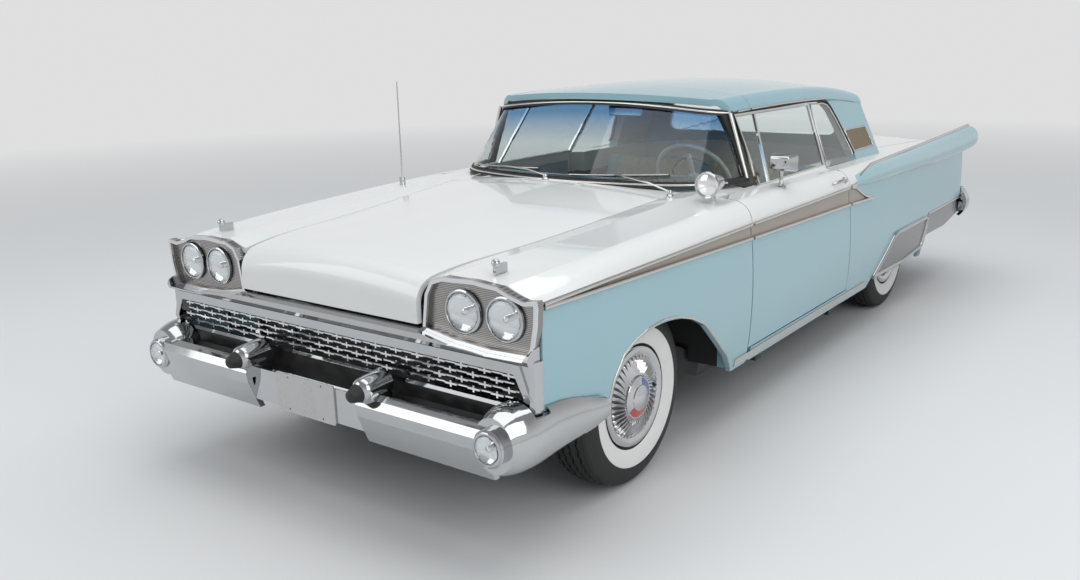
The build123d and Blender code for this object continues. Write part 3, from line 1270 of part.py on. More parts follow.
with BuildPart() as front_bumper:
    add(side_prism(BLADE_PROFILE, (GUARD_X - 30, 850)))
    add(end_pod.part)
    # Bore for the driving lamp, through pod and blade alike
    with BuildSketch(Plane.XZ.offset(2600)):
        with Locations((POD_X, POD_Z)):
            Circle(FOG_R + SEAT_GAP)
    extrude(amount=-(2600 + POD_FRONT_Y + 20), mode=Mode.SUBTRACT)
    # Guard: a bullet that leans down towards its tip
    with BuildSketch(guard_plane):
        with BuildLine():
            Polyline((0, 0), (0, GUARD_R), (96, GUARD_R))
            ThreePointArc((96, GUARD_R), (114, GUARD_R - 6), (GUARD_LENGTH, GUARD_R - 14))
            Polyline((GUARD_LENGTH, GUARD_R - 14), (GUARD_LENGTH, 0), (0, 0))
        make_face()
    revolve(axis=guard_axis)
    with Locations((GUARD_X, -2530, 505)):
        Box(60, 70, 70)
    mirror(about=Plane.YZ)
    # Centre blade behind the number plate
    add(block((-GUARD_X, GUARD_X), (-2552, -2530), (386, 512)))
    add(plate_holes.part, mode=Mode.SUBTRACT)
    # Flanges that bolt to the frame's brackets
    for x in (-400, 400):
        with Locations((x, -2540, 470)):
            Box(60, 20 - 2 * SEAT_GAP, 70)
front_bumper.part.label = "front_bumper"
export_step(front_bumper.part, "parts/front_bumper.step")
with BuildPart() as bumper_tips:
    with BuildSketch(guard_plane):
        with BuildLine():
            Polyline((GUARD_LENGTH + SEAT_GAP, 0), (GUARD_LENGTH + SEAT_GAP, GUARD_R - 12), (158, 20))
            Polyline((158, 20), (164, 12), (166, 4), (166, 0), (GUARD_LENGTH + SEAT_GAP, 0))
        make_face()
    revolve(axis=guard_axis)
    mirror(about=Plane.YZ)
bumper_tips.part.label = "bumper_tips"
export_step(bumper_tips.part, "parts/bumper_tips.step")

# Blank number plate in front of the centre blade
with BuildPart() as number_plate:
    add(block((-153, 153), (PLATE_FRONT_Y, -2552 - SEAT_GAP), (376, 522)))
    fillet(number_plate.edges().filter_by(Axis.Y), 8)
    add(plate_holes.part, mode=Mode.SUBTRACT)
number_plate.part.label = "number_plate"
export_step(number_plate.part, "parts/number_plate.step")

# Valance: the dark panel between the grille and the bumper
with BuildPart() as front_valance:
    add(block((-880, 880), (-2438, -2426), (462, 552 - SEAT_GAP)))
    add(block((-880, 880), (-2426, -2394), (530, 552 - SEAT_GAP)))
    add(end_pod.part, mode=Mode.SUBTRACT)
    add(end_pod.part.mirror(Plane.YZ), mode=Mode.SUBTRACT)
front_valance.part.label = "front_valance"
export_step(front_valance.part, "parts/front_valance.step")

# Rear bumper: a rounded channel swept round the tail
REAR_BUMPER_Z = 498
REAR_BUMPER_HALF = 93
with BuildPart() as rear_bumper:
    with BuildLine() as route:
        Polyline((962, 2440), (962, 2632), (-962, 2632), (-962, 2440))
        fillet(route.vertices().sort_by(Axis.Y)[-2:], 120)
    with BuildSketch(Plane(origin=(962, 2440, REAR_BUMPER_Z), x_dir=(1, 0, 0), z_dir=(0, 1, 0))):
        with BuildLine():
            low = -REAR_BUMPER_HALF
            high = REAR_BUMPER_HALF
            ThreePointArc((-30, low), (11, 0), (-30, high))
            ThreePointArc((-48, high - 8), (-12, 0), (-48, low + 8))
            Line((-30, low), (-48, low + 8))
            Line((-30, high), (-48, high - 8))
        make_face()
    sweep(path=route.line)
    bracket_y = 2600 + SEAT_GAP
    for x in (-RAIL_REAR[0], RAIL_REAR[0]):
        with Locations((x, bracket_y + 8, 490)):
            Box(60, 16, 80)
rear_bumper.part.label = "rear_bumper"
export_step(rear_bumper.part, "parts/rear_bumper.step")

# Tail lamps and, at the ends of the fins, the reversing lamps
with BuildPart() as tail_lamps:
    with BuildSketch(Plane(origin=(LAMP_X, 0, LAMP_Z), x_dir=(1, 0, 0), z_dir=(0, 0, 1))):
        with BuildLine():
            Polyline((0, 2486), (0, 2408), (LAMP_R - SEAT_GAP, 2408), (LAMP_R - SEAT_GAP, 2446))
            ThreePointArc((LAMP_R - SEAT_GAP, 2446), dome_mid(LAMP_R - SEAT_GAP, 40, 2446), (0, 2486))
        make_face()
    revolve(axis=Axis((LAMP_X, 0, LAMP_Z), (0, 1, 0)))
    mirror(about=Plane.YZ)
tail_lamps.part.label = "tail_lamps"
export_step(tail_lamps.part, "parts/tail_lamps.step")
REVERSE_X = 912
REVERSE_Z = 914
with BuildPart() as reversing_lamps:
    with BuildSketch(Plane.XZ.offset(-2612 - SEAT_GAP)):
        with Locations((REVERSE_X, REVERSE_Z)):
            Circle(46)
    with BuildSketch(Plane.XZ.offset(-2642)):
        with Locations((REVERSE_X, REVERSE_Z)):
            Circle(32)
    loft()
    mirror(about=Plane.YZ)
reversing_lamps.part.label = "reversing_lamps"
export_step(reversing_lamps.part, "parts/reversing_lamps.step")

# Rear wheel skirts, shields behind the wheels and mouldings along the sills
body_trim = body_form(-SEAT_GAP)
SKIRT_OUTLINE = [(728, 312), (1000, 521), (1060, 530), (1640, 530), (1662, 500), (1623, 330), (1267, 300)]
with BuildPart() as wheel_skirts:
    with BuildSketch(Plane.YZ.offset(800)):
        with BuildLine():
            Polyline(*SKIRT_OUTLINE, close=True)
        make_face()
        offset(amount=-SEAT_GAP, kind=Kind.INTERSECTION)
    extrude(amount=300)
    add(body_form(-4), mode=Mode.INTERSECT)
    add(body_form(14), mode=Mode.SUBTRACT)
    mirror(about=Plane.YZ)
wheel_skirts.part.label = "wheel_skirts"
export_step(wheel_skirts.part, "parts/wheel_skirts.step")
SHIELD_OUTLINE = [
    (1668, 396), (1668, REAR_PANEL_Z - SEAT_GAP), (2420, REAR_PANEL_Z - SEAT_GAP), (2432, 440), (2100, 392),
]
with BuildPart() as gravel_shields:
    add(side_prism(SHIELD_OUTLINE, (800, WIDE)))
    add(body_outer, mode=Mode.INTERSECT)
    add(body_form(16), mode=Mode.SUBTRACT)
    mirror(about=Plane.YZ)
gravel_shields.part.label = "gravel_shields"
export_step(gravel_shields.part, "parts/gravel_shields.step")
with BuildPart() as sill_mouldings:
    add(block((800, WIDE), (-1000, 620), (282, 318)))
    add(body_clear, mode=Mode.INTERSECT)
    add(body_trim, mode=Mode.SUBTRACT)
    mirror(about=Plane.YZ)
sill_mouldings.part.label = "sill_mouldings"
export_step(sill_mouldings.part, "parts/sill_mouldings.step")

# Small fittings outside: fender ornaments, door mirror, spot lamp and aerial
with BuildPart() as fender_ornaments:
    with Locations((711, -2308, 958)):
        Box(12, 60, 30)
    with Locations((711, -2330, 978)):
        Sphere(15)
    mirror(about=Plane.YZ)
    add(body_raised, mode=Mode.SUBTRACT)
fender_ornaments.part.label = "fender_ornaments"
export_step(fender_ornaments.part, "parts/fender_ornaments.step")
with BuildPart() as door_mirror:
    with Locations((868, -470, 1010)):
        Cylinder(9, 110)
    with BuildSketch(Plane.XZ.offset(440)):
        with Locations((868, 1072)):
            Circle(62)
    with BuildSketch(Plane.XZ.offset(484)):
        with Locations((868, 1072)):
            Circle(40)
    loft()
    add(body_raised, mode=Mode.SUBTRACT)
door_mirror.part.label = "door_mirror"
export_step(door_mirror.part, "parts/door_mirror.step")
with BuildPart() as spot_lamp:
    with Locations((800, -1010, 1010)):
        Cylinder(9, 80)
    with BuildSketch(Plane.XZ.offset(1070)):
        with Locations((800, 1068)):
            Circle(52)
    with BuildSketch(Plane.XZ.offset(960)):
        with Locations((800, 1068)):
            Circle(26)
    loft()
    add(body_raised, mode=Mode.SUBTRACT)
spot_lamp.part.label = "spot_lamp"
export_step(spot_lamp.part, "parts/spot_lamp.step")
with BuildPart() as aerial:
    with Locations((-760, -1250, 1000)):
        Cylinder(14, 50)
    with Locations((-760, -1250, 1240)):
        Cylinder(3, 480)
    add(body_raised, mode=Mode.SUBTRACT)
aerial.part.label = "aerial"
export_step(aerial.part, "parts/aerial.step")
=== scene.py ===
import bmesh
import bpy
from math import atan2, cos, hypot, pi, radians, sin
from mathutils import Matrix, Vector
from mathutils.bvhtree import BVHTree


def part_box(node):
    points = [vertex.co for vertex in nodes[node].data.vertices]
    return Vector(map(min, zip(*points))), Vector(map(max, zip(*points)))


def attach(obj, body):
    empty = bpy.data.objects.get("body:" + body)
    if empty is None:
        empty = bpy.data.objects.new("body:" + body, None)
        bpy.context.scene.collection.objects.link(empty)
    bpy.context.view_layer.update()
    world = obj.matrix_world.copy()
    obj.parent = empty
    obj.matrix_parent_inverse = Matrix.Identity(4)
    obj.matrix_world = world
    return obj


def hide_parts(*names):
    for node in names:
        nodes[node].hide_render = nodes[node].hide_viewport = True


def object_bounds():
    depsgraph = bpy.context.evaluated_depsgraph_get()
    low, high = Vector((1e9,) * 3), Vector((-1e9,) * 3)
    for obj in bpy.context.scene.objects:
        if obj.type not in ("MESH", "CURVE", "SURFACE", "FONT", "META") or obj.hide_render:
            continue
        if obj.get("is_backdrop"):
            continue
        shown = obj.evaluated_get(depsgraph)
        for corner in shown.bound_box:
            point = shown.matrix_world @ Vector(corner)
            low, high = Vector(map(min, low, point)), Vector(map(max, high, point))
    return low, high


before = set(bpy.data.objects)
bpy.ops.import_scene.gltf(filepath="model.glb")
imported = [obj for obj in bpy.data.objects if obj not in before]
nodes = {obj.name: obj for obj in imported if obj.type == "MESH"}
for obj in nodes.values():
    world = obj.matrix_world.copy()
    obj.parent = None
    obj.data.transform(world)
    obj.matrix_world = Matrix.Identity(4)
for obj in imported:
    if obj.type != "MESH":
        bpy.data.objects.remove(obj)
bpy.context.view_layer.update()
scene = bpy.context.scene
scene.view_settings.view_transform = "Standard"

# The camera stands off the car's left front corner at eye height, turned and tipped as in
# the photograph, with a moderately wide lens.
PHOTO_WIDTH, PHOTO_HEIGHT = 1080, 580
FOCAL_PIXELS = 985.6
AXIS_X, AXIS_Y = 547, 293.1
CAMERA_PLACE = (2.6674, -4.6805, 1.6719)
SENSOR_MM = 36
camera_data = bpy.data.cameras.new("camera")
camera_data.lens = FOCAL_PIXELS / PHOTO_WIDTH * SENSOR_MM
camera_data.shift_x = (PHOTO_WIDTH / 2 - AXIS_X) / PHOTO_WIDTH
camera_data.shift_y = (AXIS_Y - PHOTO_HEIGHT / 2) / PHOTO_WIDTH
camera_data.clip_end = 200
camera = bpy.data.objects.new("camera", camera_data)
scene.collection.objects.link(camera)
scene.camera = camera
yaw, pitch, roll = radians(36.758), radians(14.598), radians(-1.308)
ahead = Vector((-sin(yaw) * cos(pitch), cos(yaw) * cos(pitch), -sin(pitch)))
across = Vector((cos(yaw), sin(yaw), 0))
above = across.cross(ahead)
right = cos(roll) * across + sin(roll) * above
upright = cos(roll) * above - sin(roll) * across
turned = Matrix((right, upright, -ahead)).transposed().to_4x4()
camera.matrix_world = Matrix.Translation(CAMERA_PLACE) @ turned


class Wire:
    """One socket of a finish, with plain Python maths on it."""

    def __init__(self, finish, socket):
        self.finish = finish
        self.socket = socket

    def math(self, operation, *values):
        return self.finish.node("ShaderNodeMath", {"operation": operation}, dict(enumerate(values)))

    def __add__(self, other):
        return self.math("ADD", self, other)

    def __radd__(self, other):
        return self.math("ADD", other, self)

    def __sub__(self, other):
        return self.math("SUBTRACT", self, other)

    def __rsub__(self, other):
        return self.math("SUBTRACT", other, self)

    def __mul__(self, other):
        return self.math("MULTIPLY", self, other)

    def __rmul__(self, other):
        return self.math("MULTIPLY", other, self)

    def __gt__(self, other):
        return self.math("GREATER_THAN", self, other)

    def __lt__(self, other):
        return self.math("LESS_THAN", self, other)

    def __abs__(self):
        return self.math("ABSOLUTE", self)

    def either(self, other):
        return self.math("MAXIMUM", self, other)

    def root(self):
        return self.math("SQRT", self)

    def wave(self, pitch):
        """A sine along a coordinate, with one wave each pitch."""
        return self.math("SINE", self * (2 * pi / pitch))

    def ramp(self, start, end, low, high):
        """A straight slope between two values, level before and after."""
        sockets = {"Value": self, "From Min": start, "From Max": end, "To Min": low, "To Max": high}
        return self.finish.node("ShaderNodeMapRange", {"clamp": True}, sockets)


class Finish:
    """A material of the car: plain values on its shader, wires for what varies over a surface."""

    def __init__(self, name, plain):
        self.material = bpy.data.materials.new(name)
        self.material.use_nodes = True
        self.tree = self.material.node_tree
        self.shader = self.tree.nodes["Principled BSDF"]
        for key, value in plain.items():
            self.shader.inputs[key].default_value = value
        self.origin = self.node("ShaderNodeTexCoord", {}, {}, "Object")

    def node(self, kind, settings, sockets, output=0):
        """One shader node: its settings first, then the values or wires of its sockets."""
        made = self.tree.nodes.new(kind)
        for key, value in settings.items():
            setattr(made, key, value)
        for key, value in sockets.items():
            if isinstance(value, Wire):
                self.tree.links.new(value.socket, made.inputs[key])
            else:
                made.inputs[key].default_value = value
        return Wire(self, made.outputs[output])

    def place(self):
        """The three Object coordinates of the surface."""
        return [self.node("ShaderNodeSeparateXYZ", {}, {0: self.origin}, axis) for axis in "XYZ"]

    def noise(self, scale, detail=2.0, stretch=(1, 1, 1)):
        placed = self.node("ShaderNodeMapping", {}, {"Vector": self.origin, "Scale": stretch})
        return self.node("ShaderNodeTexNoise", {}, {"Vector": placed, "Scale": scale, "Detail": detail})

    def mix(self, mask, first, second):
        """One colour or another, by a mask."""
        return self.node("ShaderNodeMix", {"data_type": "RGBA"}, {0: mask, 6: first, 7: second}, 2)

    def bump(self, height, distance, strength=1.0):
        sockets = {"Height": height, "Distance": distance, "Strength": strength}
        self.feed("Normal", self.node("ShaderNodeBump", {}, sockets))

    def feed(self, socket, wire):
        self.tree.links.new(wire.socket, self.shader.inputs[socket])

    def cloudy(self, cloud, first, second, rough, rougher):
        """Two colours and two degrees of roughness, mixed by one noise; gives the noise."""
        self.feed("Base Color", self.mix(cloud, (*first, 1), (*second, 1)))
        self.feed("Roughness", rough + cloud * rougher)
        return cloud


def coat(finish, *names):
    """Gives CAD nodes a finish."""
    for name in names:
        for slot in nodes[name].material_slots:
            slot.material = finish.material


# The studio: a pale seamless floor and backdrop, which glass and metal show as well, a soft
# sky that lights the car, a large lamp overhead and two more, one off each front corner.
floor_data = bpy.data.meshes.new("studio_floor")
shape = bmesh.new()
bmesh.ops.create_grid(shape, x_segments=1, y_segments=1, size=60)
shape.to_mesh(floor_data)
shape.free()
studio_floor = bpy.data.objects.new("studio_floor", floor_data)
scene.collection.objects.link(studio_floor)
studio_floor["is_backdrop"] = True
floor_finish = Finish(
    "studio floor", {"Roughness": 0.9, "Emission Strength": 1.0, "Specular IOR Level": 0.0}
)
floor_shade = floor_finish.noise(0.6)
x, y, z = floor_finish.place()
far_off = (x * x + y * y).root().ramp(5.0, 15.0, 0, 1)
near_floor = floor_finish.mix(floor_shade, (0.66, 0.66, 0.655, 1), (0.69, 0.69, 0.685, 1))
floor_finish.feed("Base Color", floor_finish.mix(far_off, near_floor, (0, 0, 0, 1)))
floor_finish.feed("Emission Color", floor_finish.mix(far_off, (0, 0, 0, 1), (0.74, 0.74, 0.74, 1)))
floor_data.materials.append(floor_finish.material)

world = bpy.data.worlds.new("studio")
scene.world = world
world.use_nodes = True
sky = world.node_tree.nodes["Background"]
sky.inputs["Strength"].default_value = 1.0
ray = world.node_tree.nodes.new("ShaderNodeLightPath")
heading = world.node_tree.nodes.new("ShaderNodeTexCoord")
parts = world.node_tree.nodes.new("ShaderNodeSeparateXYZ")
# height and colour of each stop, the two ends first
band = world.node_tree.nodes.new("ShaderNodeValToRGB")
LIGHT_SKY = [
    (0.0, (0.30, 0.31, 0.32, 1)), (0.75, (0.72, 0.75, 0.79, 1)), (0.12, (0.16, 0.17, 0.17, 1)),
    (0.30, (0.46, 0.49, 0.52, 1)),
]
backdrop = world.node_tree.nodes.new("ShaderNodeValToRGB")
SEEN_SKY = [(0.10, (0.74, 0.74, 0.74, 1)), (0.60, (0.34, 0.35, 0.36, 1))]
for blend, heights in ((band, LIGHT_SKY), (backdrop, SEEN_SKY)):
    stops = list(blend.color_ramp.elements)
    for index, (height, colour) in enumerate(heights):
        stop = stops[index] if index < 2 else blend.color_ramp.elements.new(height)
        stop.position = height
        stop.color = colour
shown = world.node_tree.nodes.new("ShaderNodeMix")
shown.data_type = "RGBA"
wire = world.node_tree.links.new
wire(heading.outputs["Generated"], parts.inputs[0])
wire(parts.outputs["Z"], band.inputs[0])
wire(parts.outputs["Z"], backdrop.inputs[0])
seen = ray.outputs["Is Camera Ray"]
for kind in ("Is Glossy Ray", "Is Transmission Ray"):
    either = world.node_tree.nodes.new("ShaderNodeMath")
    either.operation = "MAXIMUM"
    wire(seen, either.inputs[0])
    wire(ray.outputs[kind], either.inputs[1])
    seen = either.outputs[0]
wire(seen, shown.inputs[0])
wire(band.outputs[0], shown.inputs[6])
wire(backdrop.outputs[0], shown.inputs[7])
wire(shown.outputs[2], sky.inputs["Color"])
# name, place, size, watts
for lamp_name, lamp_place, lamp_size, watts in [
    ("lamp_above", (0.5, 0.0, 6.5), 7.0, 210),
    ("lamp_left", (5.5, -3.0, 3.6), 4.0, 90),
    ("lamp_front", (-4.0, -6.5, 4.0), 4.0, 80),
]:
    lamp_data = bpy.data.lights.new(lamp_name, "AREA")
    lamp_data.shape = "SQUARE"
    lamp_data.size = lamp_size
    lamp_data.energy = watts
    lamp = bpy.data.objects.new(lamp_name, lamp_data)
    scene.collection.objects.link(lamp)
    lamp.location = lamp_place
    lamp.rotation_mode = "QUATERNION"
    lamp.rotation_quaternion = (Vector(lamp_place) - Vector((0, 0, 0.6))).to_track_quat("Z", "Y")

# Outer panels of pressed steel in two-tone enamel: white above, light blue below the side
# spear and on the tail's tubes, with the spear's groove in tan-grey anodised metal.
NOSE_Y, DOOR_FRONT_Y, DOOR_REAR_Y, SPEAR_TAIL_Y = -2.392, -0.922, 0.222, 0.556
TUBE_FRONT_Y, TAIL_PANEL_Y = 0.33, 2.405
enamel = Finish("two-tone enamel", {"Coat Weight": 1.0, "Coat Roughness": 0.03})
x, y, z = enamel.place()
side = abs(x)
spear_low = 0.878 + y.ramp(NOSE_Y, DOOR_FRONT_Y, 0, -0.040)
spear_low = spear_low + y.ramp(DOOR_FRONT_Y, DOOR_REAR_Y, 0, -0.028)
spear_low = spear_low + y.ramp(DOOR_REAR_Y, 0.558, 0, -0.015)
spear_high = 0.886 + y.ramp(NOSE_Y, DOOR_FRONT_Y, 0, 0.007) + y.ramp(0.230, TUBE_FRONT_Y, 0, -0.013)
spear_high = spear_high + y.ramp(TUBE_FRONT_Y, 0.558, 0, -0.085)
in_spear = (z > spear_low) * (z < spear_high) * (y < SPEAR_TAIL_Y) * (side > 0.85)
crest_x = 0.922 + y.ramp(TUBE_FRONT_Y, 0.64, 0, -0.023) + y.ramp(0.64, 1.0, 0, -0.005)
on_tube = (y > TUBE_FRONT_Y) * (side > crest_x)
below_spear = (z < spear_low) * (side > 0.84)
mottle = enamel.noise(2.5, 3)
white = enamel.mix(mottle, (0.75, 0.76, 0.75, 1), (0.79, 0.79, 0.775, 1))
blue = enamel.mix(mottle, (0.275, 0.470, 0.525, 1), (0.300, 0.495, 0.550, 1))
anodised = enamel.mix(mottle, (0.37, 0.325, 0.285, 1), (0.45, 0.40, 0.35, 1))
undercoat = enamel.mix(mottle, (0.020, 0.020, 0.022, 1), (0.035, 0.034, 0.033, 1))
bright = enamel.mix(mottle, (0.62, 0.61, 0.59, 1), (0.74, 0.73, 0.71, 1))
sash = (z > 1.0) * (y > -0.66) * (y < 0.25) * (side > 0.6)
hidden = (side < 0.84) * (z < 0.872) * (y < TAIL_PANEL_Y)
tail_panel = (y > TAIL_PANEL_Y) * (z < 0.870)
tail_foot = (y > 1.62) * (z < 0.505)
two_tone = enamel.mix(below_spear.either(on_tube).either(tail_panel), white, blue)
two_tone = enamel.mix(tail_foot, two_tone, undercoat)
two_tone = enamel.mix(in_spear, two_tone, anodised)
two_tone = enamel.mix(sash, two_tone, bright)
enamel.feed("Base Color", enamel.mix(hidden, two_tone, undercoat))
enamel.feed("Metallic", (in_spear * 0.35).either(sash))
enamel.feed("Roughness", 0.34 + mottle * 0.05 + z.ramp(0.26, 0.45, 0.12, 0) + hidden * 0.4 - sash * 0.2)
enamel.feed("Coat Weight", 1 - (hidden.either(in_spear)) * 0.9)
enamel.bump(enamel.noise(420, 1), 0.00008, 0.25)
coat(enamel, "fender_left", "fender_right", "door_left", "door_right", "body_shell")

# The hood and the deck lid are single white pressings, finished as the panels round them.
white_enamel = Finish("white enamel", {"Coat Weight": 1.0, "Coat Roughness": 0.03})
white_enamel.cloudy(white_enamel.noise(2.5, 3), (0.75, 0.76, 0.75), (0.79, 0.79, 0.775), 0.34, 0.05)
white_enamel.bump(white_enamel.noise(420, 1), 0.00008, 0.25)
coat(white_enamel, "hood", "deck_lid")

# The roof is light blue outside, a little deeper than the sides, and its front strip is a
# separate flap, hinged where the seam crosses it.
roof_enamel = Finish("light blue roof enamel", {"Coat Weight": 1.0, "Coat Roughness": 0.03})
cloud = roof_enamel.noise(2.0, 3)
outside = roof_enamel.mix(cloud, (0.235, 0.425, 0.485, 1), (0.260, 0.450, 0.510, 1))
lining = roof_enamel.mix(roof_enamel.noise(700, 2), (0.50, 0.48, 0.43, 1), (0.60, 0.58, 0.53, 1))
slope = roof_enamel.node("ShaderNodeNewGeometry", {}, {}, "True Normal")
down = roof_enamel.node("ShaderNodeSeparateXYZ", {}, {0: slope}, "Z") < -0.2
roof_enamel.feed("Base Color", roof_enamel.mix(down, outside, lining))
roof_enamel.feed("Roughness", 0.34 + cloud * 0.06 + down * 0.45)
roof_enamel.feed("Coat Weight", 1 - down)
roof_enamel.bump(roof_enamel.noise(420, 1), 0.00008, 0.25)
coat(roof_enamel, "roof", "roof_flap")

# Bumpers, bezels, mirror and spot lamp are chrome-plated steel, clean, with faint ripples
# of the pressing and a little road haze.
chrome = Finish("chrome plate", {"Metallic": 1.0})
haze = chrome.noise(7, 4)
speck = chrome.noise(260, 2).ramp(0.62, 0.75, 0, 1)
chrome.feed("Base Color", chrome.mix(haze, (0.50, 0.51, 0.52, 1), (0.59, 0.60, 0.61, 1)))
chrome.feed("Roughness", 0.05 + haze * 0.05 + speck * 0.05)
chrome.bump(chrome.noise(9, 1), 0.0012, 0.25)
coat(
    chrome, "front_bumper", "rear_bumper", "grille_surround", "door_mirror", "spot_lamp",
    "fender_ornaments", "aerial",
)

# Long mouldings, skirts and shields are polished stainless strip, brushed along its length.
stainless = Finish("bright stainless", {"Metallic": 1.0})
grain = stainless.cloudy(
    stainless.noise(60, 3, (6, 0.4, 6)), (0.62, 0.61, 0.59), (0.74, 0.73, 0.71), 0.10, 0.10
)
stainless.bump(grain, 0.0002, 0.2)
coat(stainless, "sill_mouldings")
# The skirts and shields are the same polished steel, painted darker to stand for the dark reflection
# their faces show.
reflection_darkened_steel = Finish("dark polished steel", {"Metallic": 1.0})
grain = reflection_darkened_steel.cloudy(
    reflection_darkened_steel.noise(60, 3, (6, 0.4, 6)), (0.25, 0.235, 0.235), (0.34, 0.32, 0.32), 0.10, 0.08
)
reflection_darkened_steel.bump(grain, 0.0002, 0.2)
coat(reflection_darkened_steel, "wheel_skirts", "gravel_shields")

# The bezels round each lamp pair are bright castings whose recess carries fine level ribs; the recess is
# painted dark as shade, darkest in the valleys between ribs.
bezel_finish = Finish("ribbed bezel", {"Metallic": 1.0})
x, y, z = bezel_finish.place()
rib = z.wave(0.006)
in_recess = y > -2.418
# painted shade: darker in the recess, darkest between the ribs
ribbed = in_recess * rib.ramp(-0.9, 0.9, 1, 0.55)
bezel_finish.feed("Base Color", bezel_finish.mix(ribbed, (0.76, 0.77, 0.78, 1), (0.22, 0.20, 0.185, 1)))
bezel_finish.feed("Roughness", 0.08 + in_recess * 0.12)
bezel_finish.bump(rib * in_recess, 0.0004, 0.35)
coat(bezel_finish, "headlamp_bezels")

# The grille is a stamped and plated field of floating crosses, with a plate behind them painted
# near-black as shadow.
grille_finish = Finish("grille plating", {"Metallic": 1.0})
x, y, z = grille_finish.place()
# painted shadow: the plate behind the crosses goes near-black and dull
shadowed = y.ramp(-2.427, -2.421, 0, 1)
grille_finish.feed(
    "Base Color", grille_finish.mix(shadowed, (0.72, 0.73, 0.74, 1), (0.012, 0.012, 0.013, 1))
)
grille_finish.feed("Roughness", 0.14 + shadowed * 0.5)
grille_finish.feed("Metallic", 1 - shadowed)
coat(grille_finish, "grille_insert")

# Satin black steel: valance, radiator, frame and suspension, with patches of brownish dust.
black_steel = Finish("satin black steel", {})
x, y, z = black_steel.place()
dust = black_steel.noise(14, 5).ramp(0.45, 0.75, 0, 1)
black_steel.feed(
    "Base Color", black_steel.mix(dust * 0.5, (0.012, 0.012, 0.013, 1), (0.075, 0.065, 0.055, 1))
)
black_steel.feed("Roughness", 0.42 + dust * 0.3)
black_steel.bump(black_steel.noise(180, 3), 0.0006, 0.4)
coat(black_steel, "front_valance", "radiator", "frame", "front_suspension", "rear_axle", "fuel_tank")

# The floor pan is black steel below and carries a looped blue carpet inside the cabin.
floor_pan = Finish("carpeted floor", {})
x, y, z = floor_pan.place()
tufts = floor_pan.noise(500, 2)
carpeted = (z > 0.312) * ((abs(x) > 0.120).either(z > 0.430)) * (y > -0.95) * (y < 0.98)
pile = floor_pan.mix(tufts, (0.05, 0.11, 0.15, 1), (0.12, 0.22, 0.28, 1))
floor_pan.feed("Base Color", floor_pan.mix(carpeted, (0.016, 0.016, 0.017, 1), pile))
floor_pan.feed("Roughness", 0.5 + carpeted * 0.4)
floor_pan.bump(tufts * (0.2 + carpeted), 0.002, 0.6)
coat(floor_pan, "floor")

# Cast and machined iron: engine block, propeller shaft and steering knuckles.
grey_iron = Finish("grey cast iron", {})
stain = grey_iron.noise(18, 5).ramp(0.4, 0.7, 0, 1)
grey_iron.feed("Base Color", grey_iron.mix(stain, (0.045, 0.048, 0.050, 1), (0.095, 0.080, 0.068, 1)))
grey_iron.feed("Metallic", 0.6 - stain * 0.5)
grey_iron.feed("Roughness", 0.45 + stain * 0.3)
grey_iron.bump(grey_iron.noise(240, 4), 0.0008, 0.5)
coat(grey_iron, "engine", "drive_shaft", "knuckle_left", "knuckle_right")

# The exhaust is aluminised steel tube, browned by heat and road dirt.
pipe_steel = Finish("exhaust steel", {"Metallic": 0.8})
x, y, z = pipe_steel.place()
pipe_steel.cloudy(
    pipe_steel.noise(9, 4) * y.ramp(-1.3, 2.4, 1.0, 0.5), (0.40, 0.39, 0.37), (0.12, 0.075, 0.045),
    0.35, 0.3,
)
coat(pipe_steel, "exhaust")

# Side, quarter and rear glass: clear plate with a faint green cast.
CLEAR = {"Transmission Weight": 1.0, "IOR": 1.45, "Roughness": 0.0}
glass = Finish("clear glass", CLEAR)
film = glass.noise(3, 2)
glass.feed("Base Color", glass.mix(film, (0.90, 0.96, 0.95, 1), (0.93, 0.98, 0.97, 1)))
coat(glass, "door_glass_left", "door_glass_right", "quarter_glass", "rear_window")

# The windshield has a blue band that fades down from its header.
screen_glass = Finish("tinted windshield glass", CLEAR)
x, y, z = screen_glass.place()
header_z = 1.352 - x * x * 0.106
tint = (z - header_z).ramp(-0.17, -0.03, 0, 1)
screen_glass.feed("Base Color", screen_glass.mix(tint, (0.90, 0.96, 0.95, 1), (0.16, 0.36, 0.62, 1)))
coat(screen_glass, "windshield")

# Black rubber beds the windshield and tips the bumper guards; it is matt and finely grained.
rubber = Finish("black rubber", {})
grain = rubber.cloudy(rubber.noise(300, 3), (0.012, 0.012, 0.012), (0.022, 0.022, 0.021), 0.45, 0.2)
rubber.bump(grain, 0.0002, 0.4)
coat(rubber, "windshield_frame", "bumper_tips")

# The number plate is a blank pressed sheet, satin silver, under four bolts.
plate_finish = Finish("blank plate", {"Metallic": 0.6})
plate_finish.cloudy(plate_finish.noise(12, 3), (0.50, 0.50, 0.50), (0.56, 0.56, 0.555), 0.25, 0.06)
coat(plate_finish, "number_plate")

# Wheels are painted pressed steel behind their covers.
wheel_paint = Finish("wheel paint", {})
wheel_paint.cloudy(
    wheel_paint.noise(22, 4).ramp(0.4, 0.8, 0, 1), (0.29, 0.50, 0.56), (0.10, 0.10, 0.095), 0.35,
    0.3,
)
wheel_names = ("front_left", "front_right", "rear_left", "rear_right")
coat(wheel_paint, *[f"wheel_{name}" for name in wheel_names])


def round_edges(shape, width, segments):
    """Rounds every edge of a shape."""
    bmesh.ops.bevel(
        shape, geom=shape.edges[:], offset=width, segments=segments, affect="EDGES", profile=0.5,
        material=-1
    )


def rounded_box(size, centre, width, segments):
    """A box about a centre, with its edges rounded."""
    shape = bmesh.new()
    bmesh.ops.create_cube(shape, size=1)
    bmesh.ops.scale(shape, vec=size, verts=shape.verts)
    bmesh.ops.translate(shape, vec=centre, verts=shape.verts)
    round_edges(shape, width, segments)
    return shape


